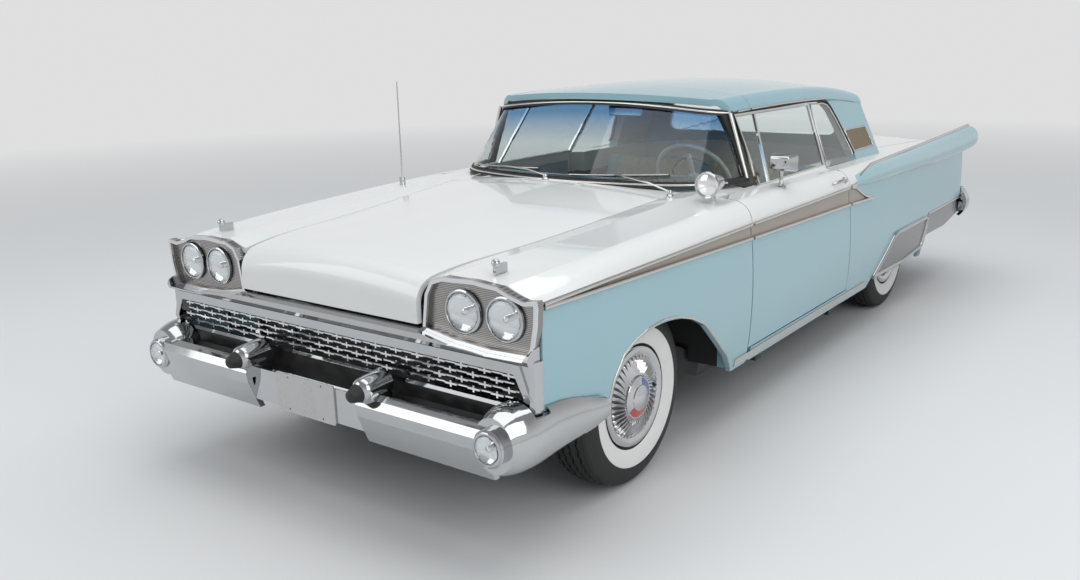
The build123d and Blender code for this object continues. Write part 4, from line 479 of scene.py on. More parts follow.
def settle(name, shape, finishes, body, sharp=35):
    """Turns a finished bmesh into a piece: shaded smooth with edges sharp past an angle, its finishes
    on, riding a body.
    """
    mesh = bpy.data.meshes.new(name)
    shape.to_mesh(mesh)
    shape.free()
    for finish in finishes:
        mesh.materials.append(finish.material)
    mesh.shade_smooth()
    mesh.set_sharp_from_angle(angle=radians(sharp))
    piece = bpy.data.objects.new(name, mesh)
    scene.collection.objects.link(piece)
    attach(piece, body)
    return piece


def facing(point, direction):
    """The placing of a shape whose own Z runs along a direction from a point."""
    turn = Vector(direction).to_track_quat("Z", "Y").to_matrix().to_4x4()
    return Matrix.Translation(point) @ turn


def lathe(shape, outline, placing, steps=48, ring=False):
    """Spins an outline of (radius, along) round its axis and places it; gives its vertices."""
    old = set(shape.verts)
    corners = [shape.verts.new((radius, 0, along)) for radius, along in outline]
    lines = [shape.edges.new(pair) for pair in zip(corners, corners[1:])]
    if ring:
        lines.append(shape.edges.new((corners[-1], corners[0])))
    bmesh.ops.spin(
        shape, geom=corners + lines, cent=(0, 0, 0), axis=(0, 0, 1), angle=2 * pi, steps=steps,
        use_merge=True
    )
    made = [vertex for vertex in shape.verts if vertex not in old]
    bmesh.ops.remove_doubles(shape, verts=made, dist=1e-5)
    made = [vertex for vertex in shape.verts if vertex not in old]
    faces = [face for face in shape.faces if face.verts[0] not in old]
    bmesh.ops.recalc_face_normals(shape, faces=faces)
    bmesh.ops.transform(shape, matrix=placing, verts=made)
    return made


# Tyres: four-ply whitewalls. Each is one moulding, with a band of white rubber let into its
# outer side and five tread ribs parted by zigzag grooves.
tyre_rubber = Finish("tyre rubber", {})
tyre_rubber.cloudy(tyre_rubber.noise(40, 4), (0.011, 0.011, 0.011), (0.028, 0.027, 0.026), 0.55, 0.2)
tyre_rubber.bump(tyre_rubber.noise(500, 2), 0.0002, 0.4)
white_rubber = Finish("white rubber", {})
white_rubber.cloudy(white_rubber.noise(30, 4), (0.74, 0.73, 0.70), (0.80, 0.79, 0.77), 0.5, 0.15)
WHITE_FROM, WHITE_TO = 0.204, 0.270
GROOVES = (-0.048, -0.016, 0.016, 0.048)
wall = [
    (0.1790, 0.0600), (0.1860, 0.0700), (0.1950, 0.0785), (0.2035, 0.0845), (0.2045, 0.0862),
    (0.2200, 0.0935), (0.2400, 0.0988), (0.2600, 0.1010), (0.2695, 0.1012), (0.2705, 0.1000),
    (0.2850, 0.0990), (0.3050, 0.0950), (0.3250, 0.0860), (0.3330, 0.0820), (0.3335, 0.0805),
    (0.3390, 0.0760),
]
tread = [(0.3400, 0.0735)]
for groove in sorted(GROOVES, reverse=True):
    crown = 0.3515 - 0.011 * (groove / 0.0735) ** 2
    tread += [
        (crown, groove + 0.004), (crown - 0.009, groove + 0.003), (crown - 0.009, groove - 0.003),
        (crown, groove - 0.004),
    ]
tread += [(0.3400, -0.0735)]
tyre_outline = wall + tread + [(radius, -along) for radius, along in reversed(wall)]
TYRE_STEPS = 96
wheel_centres = {}
for name in wheel_names:
    low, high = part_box(f"tyre_{name}")
    centre = (low + high) / 2
    outwards = Vector((1 if centre.x > 0 else -1, 0, 0))
    wheel_centres[name] = (centre, outwards)
    shape = bmesh.new()
    made = lathe(shape, tyre_outline, Matrix.Identity(4), TYRE_STEPS, ring=True)
    for vertex in made:
        radius = hypot(vertex.co.x, vertex.co.y)
        if radius > 0.3345 and abs(vertex.co.z) < 0.0730:
            step = round(atan2(vertex.co.y, vertex.co.x) / (2 * pi / TYRE_STEPS))
            vertex.co.z += 0.0042 if step % 2 else -0.0042
    for face in shape.faces:
        middle = face.calc_center_median()
        if WHITE_FROM < hypot(middle.x, middle.y) < WHITE_TO and middle.z > 0:
            face.material_index = 1
    bmesh.ops.transform(shape, matrix=facing(centre, outwards), verts=shape.verts)
    tyre = settle(
        f"whitewall_tyre_{name}", shape, [tyre_rubber, white_rubber], f"wheel_{name}",
        28,
    )
    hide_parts(f"tyre_{name}")

# Wheel covers: a stamped stainless disc with a rolled lip, a ring of forty curved vanes and
# a domed middle, whose ring has a red and a blue enamel field.
cover_steel = Finish("polished cover steel", {"Metallic": 1.0})
cover_steel.cloudy(cover_steel.noise(20, 3), (0.54, 0.54, 0.55), (0.66, 0.66, 0.66), 0.07, 0.08)
# Painted shadow for the gaps between vanes, and the paint of the two fields
cover_finishes = [cover_steel]
for colour_name, colour in [
    ("black", (0.02, 0.02, 0.02)), ("red", (0.50, 0.02, 0.02)), ("blue", (0.02, 0.06, 0.30))
]:
    field = Finish(f"{colour_name} cover enamel", {"Coat Weight": 1.0})
    cloud = field.noise(60, 3)
    field.feed(
        "Base Color", field.mix(cloud, (*colour, 1), tuple(0.88 * part for part in colour) + (1,))
    )
    field.feed("Roughness", 0.25 + cloud * 0.1)
    cover_finishes.append(field)
VANE_GAP_SHADOW, RED_PAINT, BLUE_PAINT = 1, 2, 3
# from and to, in degrees round the hub from its rearmost point, and the paint
FIELDS = [(-151, -45, RED_PAINT), (-5, 75, BLUE_PAINT)]
VANES = 40
STEPS_A_VANE = 3
lip_outline = [
    (0.1885, 0.0735), (0.1945, 0.0790), (0.1955, 0.0850), (0.1920, 0.0905), (0.1840, 0.0935),
    (0.1740, 0.0925), (0.1660, 0.0885), (0.1600, 0.0862),
]
vane_radii = [
    (0.1600, 0.0862), (0.1540, 0.0856), (0.1400, 0.0865), (0.1250, 0.0885), (0.1100, 0.0905),
    (0.0950, 0.0925), (0.0840, 0.0945),
]
hub_outline = [(0.0840, 0.0945), (0.0820, 0.1015), (0.0795, 0.1035), (0.0765, 0.1035)]
field_outline = [(0.0765, 0.1035), (0.0660, 0.1060), (0.0500, 0.1100)]
dome_outline = [
    (0.0500, 0.1100), (0.0490, 0.1130), (0.0460, 0.1145), (0.0430, 0.1145), (0.0390, 0.1165),
    (0.0340, 0.1187), (0.0260, 0.1217), (0.0170, 0.1242), (0.0080, 0.1256), (0.0, 0.1260),
]
for name, (centre, outwards) in wheel_centres.items():
    shape = bmesh.new()
    steps = VANES * STEPS_A_VANE
    lathe(shape, lip_outline, Matrix.Identity(4), steps)
    before = len(shape.faces)
    made = lathe(shape, vane_radii, Matrix.Identity(4), steps)
    for face in list(shape.faces)[before:]:
        middle = face.calc_center_median()
        step = int(atan2(middle.y, middle.x) % (2 * pi) / (2 * pi / steps))
        # the faces in each gap between vanes get the near-black painted shadow
        if step % STEPS_A_VANE == STEPS_A_VANE - 1:
            face.material_index = VANE_GAP_SHADOW
    for vertex in made:
        radius = hypot(vertex.co.x, vertex.co.y)
        angle = atan2(vertex.co.y, vertex.co.x)
        part = round(angle / (2 * pi / steps)) % STEPS_A_VANE
        inside = (0.1600 - radius) / 0.076
        rise = max(0.0, 4 * inside * (1 - inside))
        if part == 1:
            vertex.co.z += 0.0140 * rise ** 0.5
            angle -= 0.5 * 2 * pi / steps
        elif part == 2:
            vertex.co.z += 0.0050 * rise ** 0.5
        angle += 0.20 * inside * inside
        vertex.co.x = radius * cos(angle)
        vertex.co.y = radius * sin(angle)
    lathe(shape, hub_outline, Matrix.Identity(4), steps)
    before = len(shape.faces)
    lathe(shape, field_outline, Matrix.Identity(4), 48)
    for face in list(shape.faces)[before:]:
        middle = face.calc_center_median()
        turn = atan2(middle.y, middle.x)
        for start, end, paint in FIELDS:
            if radians(start) < turn < radians(end):
                face.material_index = paint
    lathe(shape, dome_outline, Matrix.Identity(4), 48)
    if outwards.x < 0:
        bmesh.ops.scale(shape, vec=(1, -1, 1), verts=shape.verts)
        bmesh.ops.reverse_faces(shape, faces=shape.faces)
    bmesh.ops.transform(shape, matrix=facing(centre, outwards), verts=shape.verts)
    settle(f"turbine_cover_{name}", shape, cover_finishes, f"wheel_{name}", 30)

# Headlamps: four sealed beams and two driving lamps in the bumper ends. Each is a fluted
# glass lens over a silvered bowl with a bulb shield, held by a chrome ring.
lens_glass = Finish("lamp glass", {**CLEAR, "Roughness": 0.02})
x, y, z = lens_glass.place()
lens_glass.feed(
    "Base Color", lens_glass.mix(lens_glass.noise(20), (0.93, 0.96, 0.97, 1), (0.97, 0.98, 0.98, 1))
)
lens_glass.bump(x.wave(0.011) + z.wave(0.030) * 0.5, 0.0005, 0.25)
silver = Finish("silvered bowl", {"Metallic": 1.0})
silver.cloudy(silver.noise(30, 2), (0.78, 0.79, 0.80), (0.86, 0.86, 0.87), 0.06, 0.06)
# x, z, rim y, radius
LAMPS = [(0.637, 0.826, -2.414, 0.073), (0.808, 0.826, -2.414, 0.073), (0.862, 0.468, -2.583, 0.054)]
lens_shape = bmesh.new()
bowl_shape = bmesh.new()
ring_shape = bmesh.new()
for lamp_x, lamp_z, rim_y, radius in LAMPS:
    for side_sign in (1, -1):
        placing = facing((side_sign * lamp_x, rim_y, lamp_z), (0, -1, 0))
        inner = radius - 0.007
        lens = [
            (0.0, 0.0155), (inner * 0.35, 0.0142), (inner * 0.65, 0.0110), (inner * 0.88, 0.0060),
            (inner, 0.0010),
        ]
        back = [
            (inner, -0.0020), (inner * 0.88, 0.0030), (inner * 0.65, 0.0080),
            (inner * 0.35, 0.0112), (0.0, 0.0125),
        ]
        lathe(lens_shape, lens + back, placing, 40)
        bowl = [
            (inner, -0.002), (inner * 0.9, -0.008), (inner * 0.7, -0.014), (inner * 0.4, -0.018),
            (0.012, -0.0195),
        ]
        shield = [(0.012, -0.0195), (0.011, -0.006), (0.008, -0.003), (0.0, -0.002)]
        lathe(bowl_shape, bowl + shield[1:], placing, 40)
        ring = [
            (inner - 0.001, -0.001), (inner - 0.001, 0.003), (inner + 0.001, 0.0058),
            (radius - 0.002, 0.0058), (radius + 0.002, 0.003), (radius + 0.003, -0.004),
            (radius, -0.006),
        ]
        lathe(ring_shape, ring, placing, 40, ring=True)
        if radius < 0.06:
            tube = [
                (radius, -0.030), (radius + 0.006, -0.030), (radius + 0.008, -0.004),
                (radius + 0.003, 0.002), (radius, 0.0),
            ]
            lathe(ring_shape, tube, placing, 40, ring=True)
lenses = settle("headlamp_lenses", lens_shape, [lens_glass], "body", 60)
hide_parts("headlamps")
settle("headlamp_bowls", bowl_shape, [silver], "body", 60)
settle("headlamp_rings", ring_shape, [chrome], "body", 40)


def skin(*names):
    """The surface of some CAD nodes, to lay trim on."""
    points = []
    faces = []
    for name in names:
        base = len(points)
        mesh = nodes[name].data
        points += [vertex.co.copy() for vertex in mesh.vertices]
        faces += [[base + corner for corner in face.vertices] for face in mesh.polygons]
    return BVHTree.FromPolygons(points, faces)


def met(surface, start, way):
    """Where a straight line from a point first meets a surface, or None."""
    return surface.ray_cast(Vector(start), Vector(way))[0]


def mirrored(runs):
    """Runs of points on the left, and the same on the right."""
    return [[(sign * at_x, at_y, at_z) for at_x, at_y, at_z in run] for sign in (1, -1) for run in runs]


def along(route, spacing=0.03):
    """Closely spaced points along a broken line."""
    points = []
    for start, end in zip(route, route[1:]):
        count = max(1, round(hypot(end[0] - start[0], end[1] - start[1]) / spacing))
        points += [tuple(a + (b - a) * k / count for a, b in zip(start, end)) for k in range(count)]
    return points + [route[-1]]


def bead(name, runs, width, finish, body="body", closed=False):
    """Rounded strip along one or more runs of points, as one piece."""
    data = bpy.data.curves.new(name, "CURVE")
    data.dimensions = "3D"
    data.bevel_depth = width / 2
    data.bevel_resolution = 2
    data.use_fill_caps = True
    for run in runs:
        spline = data.splines.new("POLY")
        spline.points.add(len(run) - 1)
        for point, place in zip(spline.points, run):
            point.co = (*place, 1)
        spline.use_cyclic_u = closed
    data.materials.append(finish.material)
    piece = bpy.data.objects.new(name, data)
    scene.collection.objects.link(piece)
    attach(piece, body)
    return piece


def side_run(surface, route, lift, side_sign, spacing=0.03):
    """Points on the outer side of a surface over a route of (y, z)."""
    run = []
    for at_y, at_z in along(route, spacing):
        hit = met(surface, (1.4 * side_sign, at_y, at_z), (-side_sign, 0, 0))
        if hit is not None and abs(hit.x) > 0.6:
            run.append((hit.x + side_sign * lift, at_y, at_z))
    return run


# Side spears: two rounded stainless mouldings a side, clipped along the edges of the
# anodised groove and parted at the door gaps, with a curved cap at the tail of the groove.
SIDES = (("left", 1), ("right", -1))
SPEAR_WIDTH = 0.016
SPEAR_LIFT = 0.003
SPEAR_TOP = [(-2.385, 0.888), (-0.936, 0.895)]
SPEAR_BOTTOM = [(-2.385, 0.876), (-0.936, 0.8365)]
DOOR_TOP = [(-0.916, 0.895), (0.214, 0.895)]
DOOR_BOTTOM = [(-0.916, 0.836), (0.216, 0.8085)]
TAIL_TOP = [
    (0.236, 0.894), (0.300, 0.886), (0.345, 0.872), (0.400, 0.846), (0.470, 0.818), (0.556, 0.797)
]
TAIL_BOTTOM = [(0.236, 0.808), (0.556, 0.795)]
shell_skin = skin("body_shell")
for side_name, side_sign in SIDES:
    fender_skin = skin(f"fender_{side_name}")
    door_skin = skin(f"door_{side_name}")
    runs = [side_run(fender_skin, route, SPEAR_LIFT, side_sign) for route in (SPEAR_TOP, SPEAR_BOTTOM)]
    bead(f"fender_spear_{side_name}", runs, SPEAR_WIDTH, stainless)
    runs = [side_run(door_skin, route, SPEAR_LIFT, side_sign) for route in (DOOR_TOP, DOOR_BOTTOM)]
    bead(f"door_spear_{side_name}", runs, SPEAR_WIDTH, stainless, f"door_{side_name}")
    runs = [
        side_run(shell_skin, route, SPEAR_LIFT, side_sign, 0.02)
        for route in (TAIL_TOP, TAIL_BOTTOM)
    ]
    bead(f"tail_spear_{side_name}", runs, SPEAR_WIDTH, stainless)

# Tube mouldings: a bright bead that starts under each quarter window, curls round the front
# of the tail tube and runs along its crest to the fin's tip.
FIN_CREST = [
    (0.340, 0.905, 0.930), (0.420, 0.934, 0.923), (0.520, 0.950, 0.913), (0.640, 0.966, 0.901),
    (1.000, 0.972, 0.896), (1.500, 0.982, 0.896), (2.000, 0.994, 0.897), (2.520, 1.010, 0.900),
    (2.612, 1.014, 0.901),
]
FIN_START = [(0.236, 0.900), (0.290, 0.898)]
for side_name, side_sign in SIDES:
    run = side_run(shell_skin, FIN_START, 0.002, side_sign)
    run += [(side_sign * at_x, at_y, at_z) for at_y, at_z, at_x in FIN_CREST]
    bead(f"fin_crest_{side_name}", [run], 0.018, stainless)

# Wheel-arch lips and the bead along the rear skirts' lower edge, rolled stainless.
ARCH_LIP = [
    (-2.008, 0.460), (-1.985, 0.520), (-1.930, 0.590), (-1.850, 0.628), (-1.770, 0.648),
    (-1.660, 0.655), (-1.560, 0.643), (-1.440, 0.607), (-1.326, 0.556), (-1.210, 0.458),
    (-1.092, 0.361), (-1.040, 0.300),
]
for side_name, side_sign in SIDES:
    fender_skin = skin(f"fender_{side_name}")
    run = side_run(fender_skin, [(at_y, at_z + 0.006) for at_y, at_z in ARCH_LIP], 0.0, side_sign, 0.025)
    bead(f"arch_lip_{side_name}", [run], 0.010, stainless)
SKIRT_LIP = [
    (0.745, 0.318), (1.000, 0.512), (1.060, 0.522), (1.630, 0.522), (1.650, 0.498), (1.615, 0.338),
    (1.267, 0.308), (0.745, 0.318),
]
skirt_skin = skin("wheel_skirts")
runs = [side_run(skirt_skin, SKIRT_LIP, 0.001, side_sign, 0.03) for side_sign in (1, -1)]
bead("skirt_edge", runs, 0.024, chrome, "body")
shield_skin = skin("gravel_shields")
SHIELD_TOP = [(1.680, 0.538), (2.415, 0.538)]
runs = [side_run(shield_skin, SHIELD_TOP, 0.001, side_sign, 0.03) for side_sign in (1, -1)]
bead("shield_edge", runs, 0.010, stainless)

# Windshield surround: a bright strip over the rubber, along the header, down both pillars
# and across the cowl.
frame_skin = skin("windshield_frame")
header_run = []
base_run = []
for step in range(-20, 21):
    header_x = step * 0.0325
    base_x = step * 0.0365
    header_z = 1.364 - 0.046 * (header_x / 0.66) ** 2
    for run, at_x, at_z in ((header_run, header_x, header_z), (base_run, base_x, 1.031)):
        hit = met(frame_skin, (at_x, -2, at_z), (0, 1, 0))
        if hit is not None:
            run.append((at_x, hit.y - 0.001, at_z))
bead("windshield_strip", [header_run, base_run], 0.010, stainless)
pillar_run = []
for step in range(11):
    at_z = 1.035 + step * 0.0285
    share = (at_z - 0.950) / 0.450
    pillar_run.append((0.776 + (0.634 - 0.776) * share + 0.002, -0.592, at_z))
bead("pillar_strips", mirrored([pillar_run]), 0.020, stainless)

# Drip mouldings: a bright gutter along each side of the roof, from the header round the
# quarter window and down to the belt line.
FLAP_DRIP = [(0.662, -0.520, 1.322), (0.668, -0.408, 1.325)]
ROOF_DRIP = [
    (0.671, -0.392, 1.326), (0.674, -0.300, 1.327), (0.677, 0.000, 1.328), (0.677, 0.300, 1.324),
    (0.676, 0.480, 1.318),
]
bead("drip_mouldings", mirrored([FLAP_DRIP, ROOF_DRIP]), 0.009, stainless)

# Side-window surrounds: black rubber along the roof rail and down behind each quarter
# window, with a thin bright frame inside it, all in the leaning plane of the glass.
GLASS_FOOT = (0.800, 0.990)
GLASS_LEAN = atan2(0.145, 0.320)


def leaning(side_sign, at_y, rise, lift):
    """A point over the side glass, a rise up its slope and a lift off it."""
    at_x = GLASS_FOOT[0] - rise * sin(GLASS_LEAN) + lift * cos(GLASS_LEAN)
    return (side_sign * at_x, at_y, GLASS_FOOT[1] + rise * cos(GLASS_LEAN) + lift * sin(GLASS_LEAN))


RUBBER_ROUTE = [
    (-0.556, 0.3575), (0.310, 0.3575), (0.500, 0.3500), (0.560, 0.3370), (0.586, 0.3050),
    (0.614, 0.2320), (0.662, 0.0600), (0.664, 0.0250),
]
QUARTER_ROUTE = [
    (0.256, 0.0250), (0.330, 0.3380), (0.500, 0.3320), (0.546, 0.3180), (0.570, 0.2900),
    (0.598, 0.2230), (0.643, 0.0560), (0.645, 0.0250),
]
for side_name, side_sign in SIDES:
    run = [leaning(side_sign, at_y, rise, 0.001) for at_y, rise in RUBBER_ROUTE]
    bead(f"side_rubber_{side_name}", [run], 0.015, rubber, "body")
    run = [leaning(side_sign, at_y, rise, 0.003) for at_y, rise in QUARTER_ROUTE]
    bead(f"quarter_frame_{side_name}", [run], 0.009, stainless)

# Post plates: ribbed, gold-toned panels in bright frames, low on each rear roof post.
gilt = Finish("ribbed gilt panel", {"Metallic": 1.0})
gilt.cloudy(gilt.noise(40, 3), (0.30, 0.25, 0.18), (0.40, 0.34, 0.25), 0.26, 0.14)


def post_point(side_sign, at_y, at_z, lift):
    """A point over the outer face of a rear roof post, which leans with the side glass."""
    return Vector((side_sign * (0.804 + lift - (at_z - 0.990) * 0.4531), at_y, at_z))


RIBS = 64
PLATE_CORNERS = [(0.672, 1.030), (0.985, 1.030), (0.965, 1.138), (0.646, 1.138)]
for side_name, side_sign in SIDES:
    shape = bmesh.new()
    bmesh.ops.create_grid(shape, x_segments=RIBS, y_segments=1, size=0.5)
    for vertex in shape.verts:
        across_share = vertex.co.x + 0.5
        up_share = vertex.co.y + 0.5
        front = Vector(PLATE_CORNERS[0]).lerp(Vector(PLATE_CORNERS[3]), up_share)
        back = Vector(PLATE_CORNERS[1]).lerp(Vector(PLATE_CORNERS[2]), up_share)
        spot = front.lerp(back, across_share)
        ridge = 0.0045 if round(across_share * RIBS) % 2 else 0.0020
        vertex.co = post_point(side_sign, spot.x, spot.y, ridge)
    if side_sign < 0:
        bmesh.ops.reverse_faces(shape, faces=shape.faces)
    settle(f"post_plate_{side_name}", shape, [gilt], "body", 20)
    run = [post_point(side_sign, at_y, at_z, 0.003) for at_y, at_z in PLATE_CORNERS]
    bead(f"post_plate_frame_{side_name}", [run], 0.009, stainless, closed=True)

# Door handles: a chrome pull on two feet over the shoulder of each door, with a round push
# button behind it.
for side_name, side_sign in SIDES:
    door_skin = skin(f"door_{side_name}")
    grip = []
    for at_y, out in [
        (0.008, -0.004), (0.014, 0.010), (0.030, 0.020), (0.070, 0.026), (0.110, 0.024),
        (0.132, 0.014), (0.140, -0.004),
    ]:
        hit = met(door_skin, (side_sign * 1.4, at_y, 0.940), (-side_sign, 0, 0))
        grip.append((hit.x + side_sign * out, at_y, 0.940 + out * 0.4))
    bead(f"door_pull_{side_name}", [grip], 0.015, chrome, f"door_{side_name}")
    hit = met(door_skin, (side_sign * 1.4, 0.172, 0.938), (-side_sign, 0, 0))
    shape = bmesh.new()
    button = [
        (0.017, -0.006), (0.017, 0.003), (0.0145, 0.005), (0.0125, 0.005), (0.0125, 0.013),
        (0.011, 0.016), (0.0, 0.0172),
    ]
    lathe(shape, button, facing(hit, (side_sign, 0, 0.35)), 28)
    settle(f"door_button_{side_name}", shape, [chrome], f"door_{side_name}")

# Wipers: a spring arm and a rubber blade a side, parked along the foot of the windshield.
screen_skin = skin("windshield", "windshield_frame")
dark_blade = Finish("wiper rubber", {})
dark_blade.cloudy(dark_blade.noise(200, 2), (0.010, 0.010, 0.010), (0.020, 0.020, 0.020), 0.5, 0.1)
blades = []
backs = []
arms = []
pivots = bmesh.new()
for start_x, end_x in ((-0.600, -0.130), (0.060, 0.530)):
    blade = []
    back = []
    for step in range(13):
        share = step / 12
        at_x = start_x + (end_x - start_x) * share
        at_z = 1.056 + 0.016 * share
        hit = met(screen_skin, (at_x, -2, at_z), (0, 1, 0))
        blade.append((at_x, hit.y - 0.006, at_z))
        back.append((at_x, hit.y - 0.014 - 0.006 * sin(pi * share), at_z + 0.002))
    blades.append(blade)
    backs.append(back)
    middle = Vector(back[6])
    foot_x = end_x + 0.075
    hit = met(shell_skin, (foot_x, -1.030, 2), (0, 0, -1))
    foot = Vector((foot_x, -1.030, hit.z if hit else 1.02))
    bend = foot.lerp(middle, 0.35) + Vector((0, -0.010, 0.028))
    arms.append([foot + Vector((0, 0, 0.022)), bend, middle + Vector((0, -0.005, 0.006)), middle])
    post = [
        (0.016, -0.004), (0.016, 0.006), (0.011, 0.012), (0.011, 0.024), (0.008, 0.030),
        (0.0, 0.031),
    ]
    lathe(pivots, post, Matrix.Translation(foot), 24)
bead("wiper_blades", blades, 0.008, dark_blade, "body")
bead("wiper_backs", backs, 0.006, stainless)
bead("wiper_arms", arms, 0.008, stainless)
settle("wiper_pivots", pivots, [chrome], "body")

# Spot lamp and mirror: a lens in a rolled ring on the lamp's mouth, and silvered glass on
# the mirror's rear face.
shape = bmesh.new()
mouth = facing((0.800, -1.070, 1.068), (0, -1, 0))
rolled = [
    (0.049, -0.004), (0.054, -0.004), (0.056, 0.002), (0.053, 0.008), (0.048, 0.007), (0.046, 0.001)
]
lathe(shape, rolled, mouth, 36, ring=True)
settle("spot_lamp_ring", shape, [chrome], "body", 40)
shape = bmesh.new()
lathe(shape, [(0.048, 0.001), (0.040, 0.006), (0.024, 0.010), (0.0, 0.012)], mouth, 36)
settle("spot_lamp_lens", shape, [silver], "body", 60)

# Door mirror: a chrome box drawn in towards its nose, with silvered glass let into its rear
# face, on a stem that flares out to the door's shoulder.
low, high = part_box("door_mirror")
MIRROR_SIZE = (0.132, 0.078, 0.080)
MIRROR_CENTRE = Vector(((low.x + high.x) / 2, high.y - MIRROR_SIZE[1] / 2, high.z - MIRROR_SIZE[2] / 2))
shape = bmesh.new()
bmesh.ops.create_cube(shape, size=1)
for vertex in shape.verts:
    if vertex.co.y < 0:
        vertex.co.x *= 0.72
        vertex.co.z = vertex.co.z * 0.70 + 0.10
bmesh.ops.scale(shape, vec=MIRROR_SIZE, verts=shape.verts)
bmesh.ops.translate(shape, vec=MIRROR_CENTRE, verts=shape.verts)
round_edges(shape, 0.011, 4)
bmesh.ops.recalc_face_normals(shape, faces=shape.faces)
mirror_foot = Vector((MIRROR_CENTRE.x, MIRROR_CENTRE.y, low.z))
stem = MIRROR_CENTRE.z - MIRROR_SIZE[2] / 2 - low.z + 0.006
flared = [
    (0.0, -0.001), (0.024, -0.001), (0.025, 0.004), (0.016, 0.009), (0.009, 0.020),
    (0.008, stem - 0.012), (0.013, stem), (0.0, stem),
]
lathe(shape, flared, Matrix.Translation(mirror_foot), 28)
mirror_head = settle("mirror_head", shape, [chrome], "door_left", 40)
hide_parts("door_mirror")
shape = rounded_box((0.108, 0.004, 0.058), (MIRROR_CENTRE.x, high.y - 0.001, MIRROR_CENTRE.z), 0.0015, 2)
settle("mirror_glass", shape, [silver], "door_left", 40)

# Tail lamps: round red lenses stepped in rings, in chrome bezels, and clear reversing lenses
# in the ends of the tail tubes.
red_lens = Finish("red lens", {"Coat Weight": 1.0, "IOR": 1.49})
x, y, z = red_lens.place()
away_x = abs(x) - 0.790
away_z = z - 0.690
ring_wave = (away_x * away_x + away_z * away_z).root().wave(0.012)
prism = z.wave(0.008)
# painted light and shade: the red brightens and darkens with the rings and prisms
painted_prism_light = (ring_wave + prism * 0.5).ramp(-1, 1, 0, 1)
red_lens.feed("Base Color", red_lens.mix(painted_prism_light, (0.22, 0.004, 0.004, 1), (0.48, 0.012, 0.010, 1)))
red_lens.feed("Roughness", 0.10 + red_lens.noise(30) * 0.08)
red_lens.bump(ring_wave + prism * 0.4, 0.0012, 0.7)
coat(red_lens, "tail_lamps")
clear_lens = Finish("reversing lens", {"Coat Weight": 1.0})
x, y, z = clear_lens.place()
prism = x.wave(0.006)
# painted light and shade: the lens brightens and darkens with its prisms
painted_prism_light = prism.ramp(-1, 1, 0, 1)
clear_lens.feed("Base Color", clear_lens.mix(painted_prism_light, (0.55, 0.56, 0.57, 1), (0.80, 0.81, 0.82, 1)))
clear_lens.feed("Roughness", 0.12 + clear_lens.noise(30) * 0.1)
clear_lens.bump(prism, 0.0008, 0.6)
coat(clear_lens, "reversing_lamps")
shape = bmesh.new()
for side_sign in (1, -1):
    bezel = [
        (0.117, 0.000), (0.117, 0.012), (0.122, 0.020), (0.130, 0.018), (0.136, 0.008), (0.137, 0.0)
    ]
    lathe(shape, bezel, facing((side_sign * 0.790, 2.428, 0.690), (0, 1, 0)), 56)
    boss = [(0.034, 0.036), (0.034, 0.040), (0.028, 0.050), (0.014, 0.056), (0.0, 0.058)]
    lathe(shape, boss, facing((side_sign * 0.790, 2.438, 0.690), (0, 1, 0)), 40)
    collar = [(0.047, -0.002), (0.051, 0.002), (0.050, 0.008), (0.045, 0.012)]
    lathe(shape, collar, facing((side_sign * 0.912, 2.612, 0.914), (0, 1, 0)), 40)
settle("tail_bezels", shape, [chrome], "body", 40)

# Seats: a full-width front bench and a narrower rear one, foam on springs under light blue
# vinyl, each with two sewn panels of pleated beige cloth. Pressure fills each pad, and the
# pleats are pulled in afterwards.
PANEL_FROM, PANEL_TO = 0.060, 0.545
seat_cloth = Finish("blue vinyl and beige cloth", {})
x, y, z = seat_cloth.place()
weave = seat_cloth.noise(900, 2)
grain = seat_cloth.noise(160, 4)
panel = (abs(x) > PANEL_FROM) * (abs(x) < PANEL_TO)
worn = seat_cloth.noise(5, 3)
hide = seat_cloth.mix(grain, (0.19, 0.36, 0.43, 1), (0.25, 0.43, 0.50, 1))
cloth = seat_cloth.mix(weave * 0.6 + worn * 0.4, (0.44, 0.39, 0.31, 1), (0.62, 0.57, 0.47, 1))
seat_cloth.feed("Base Color", seat_cloth.mix(panel, hide, cloth))
seat_cloth.feed("Roughness", 0.42 + grain * 0.1 + panel * 0.35)
seat_cloth.bump(grain * (1 - panel) + weave * panel, 0.0006, 0.5)
PAD_VOXEL = 0.014
PAD_CAP = 0.022
PLEAT = 0.0485


def applied(piece):
    """The piece with what its modifiers make of it, and no modifier left."""
    made = bpy.data.meshes.new_from_object(piece.evaluated_get(bpy.context.evaluated_depsgraph_get()))
    piece.modifiers.clear()
    piece.data = made


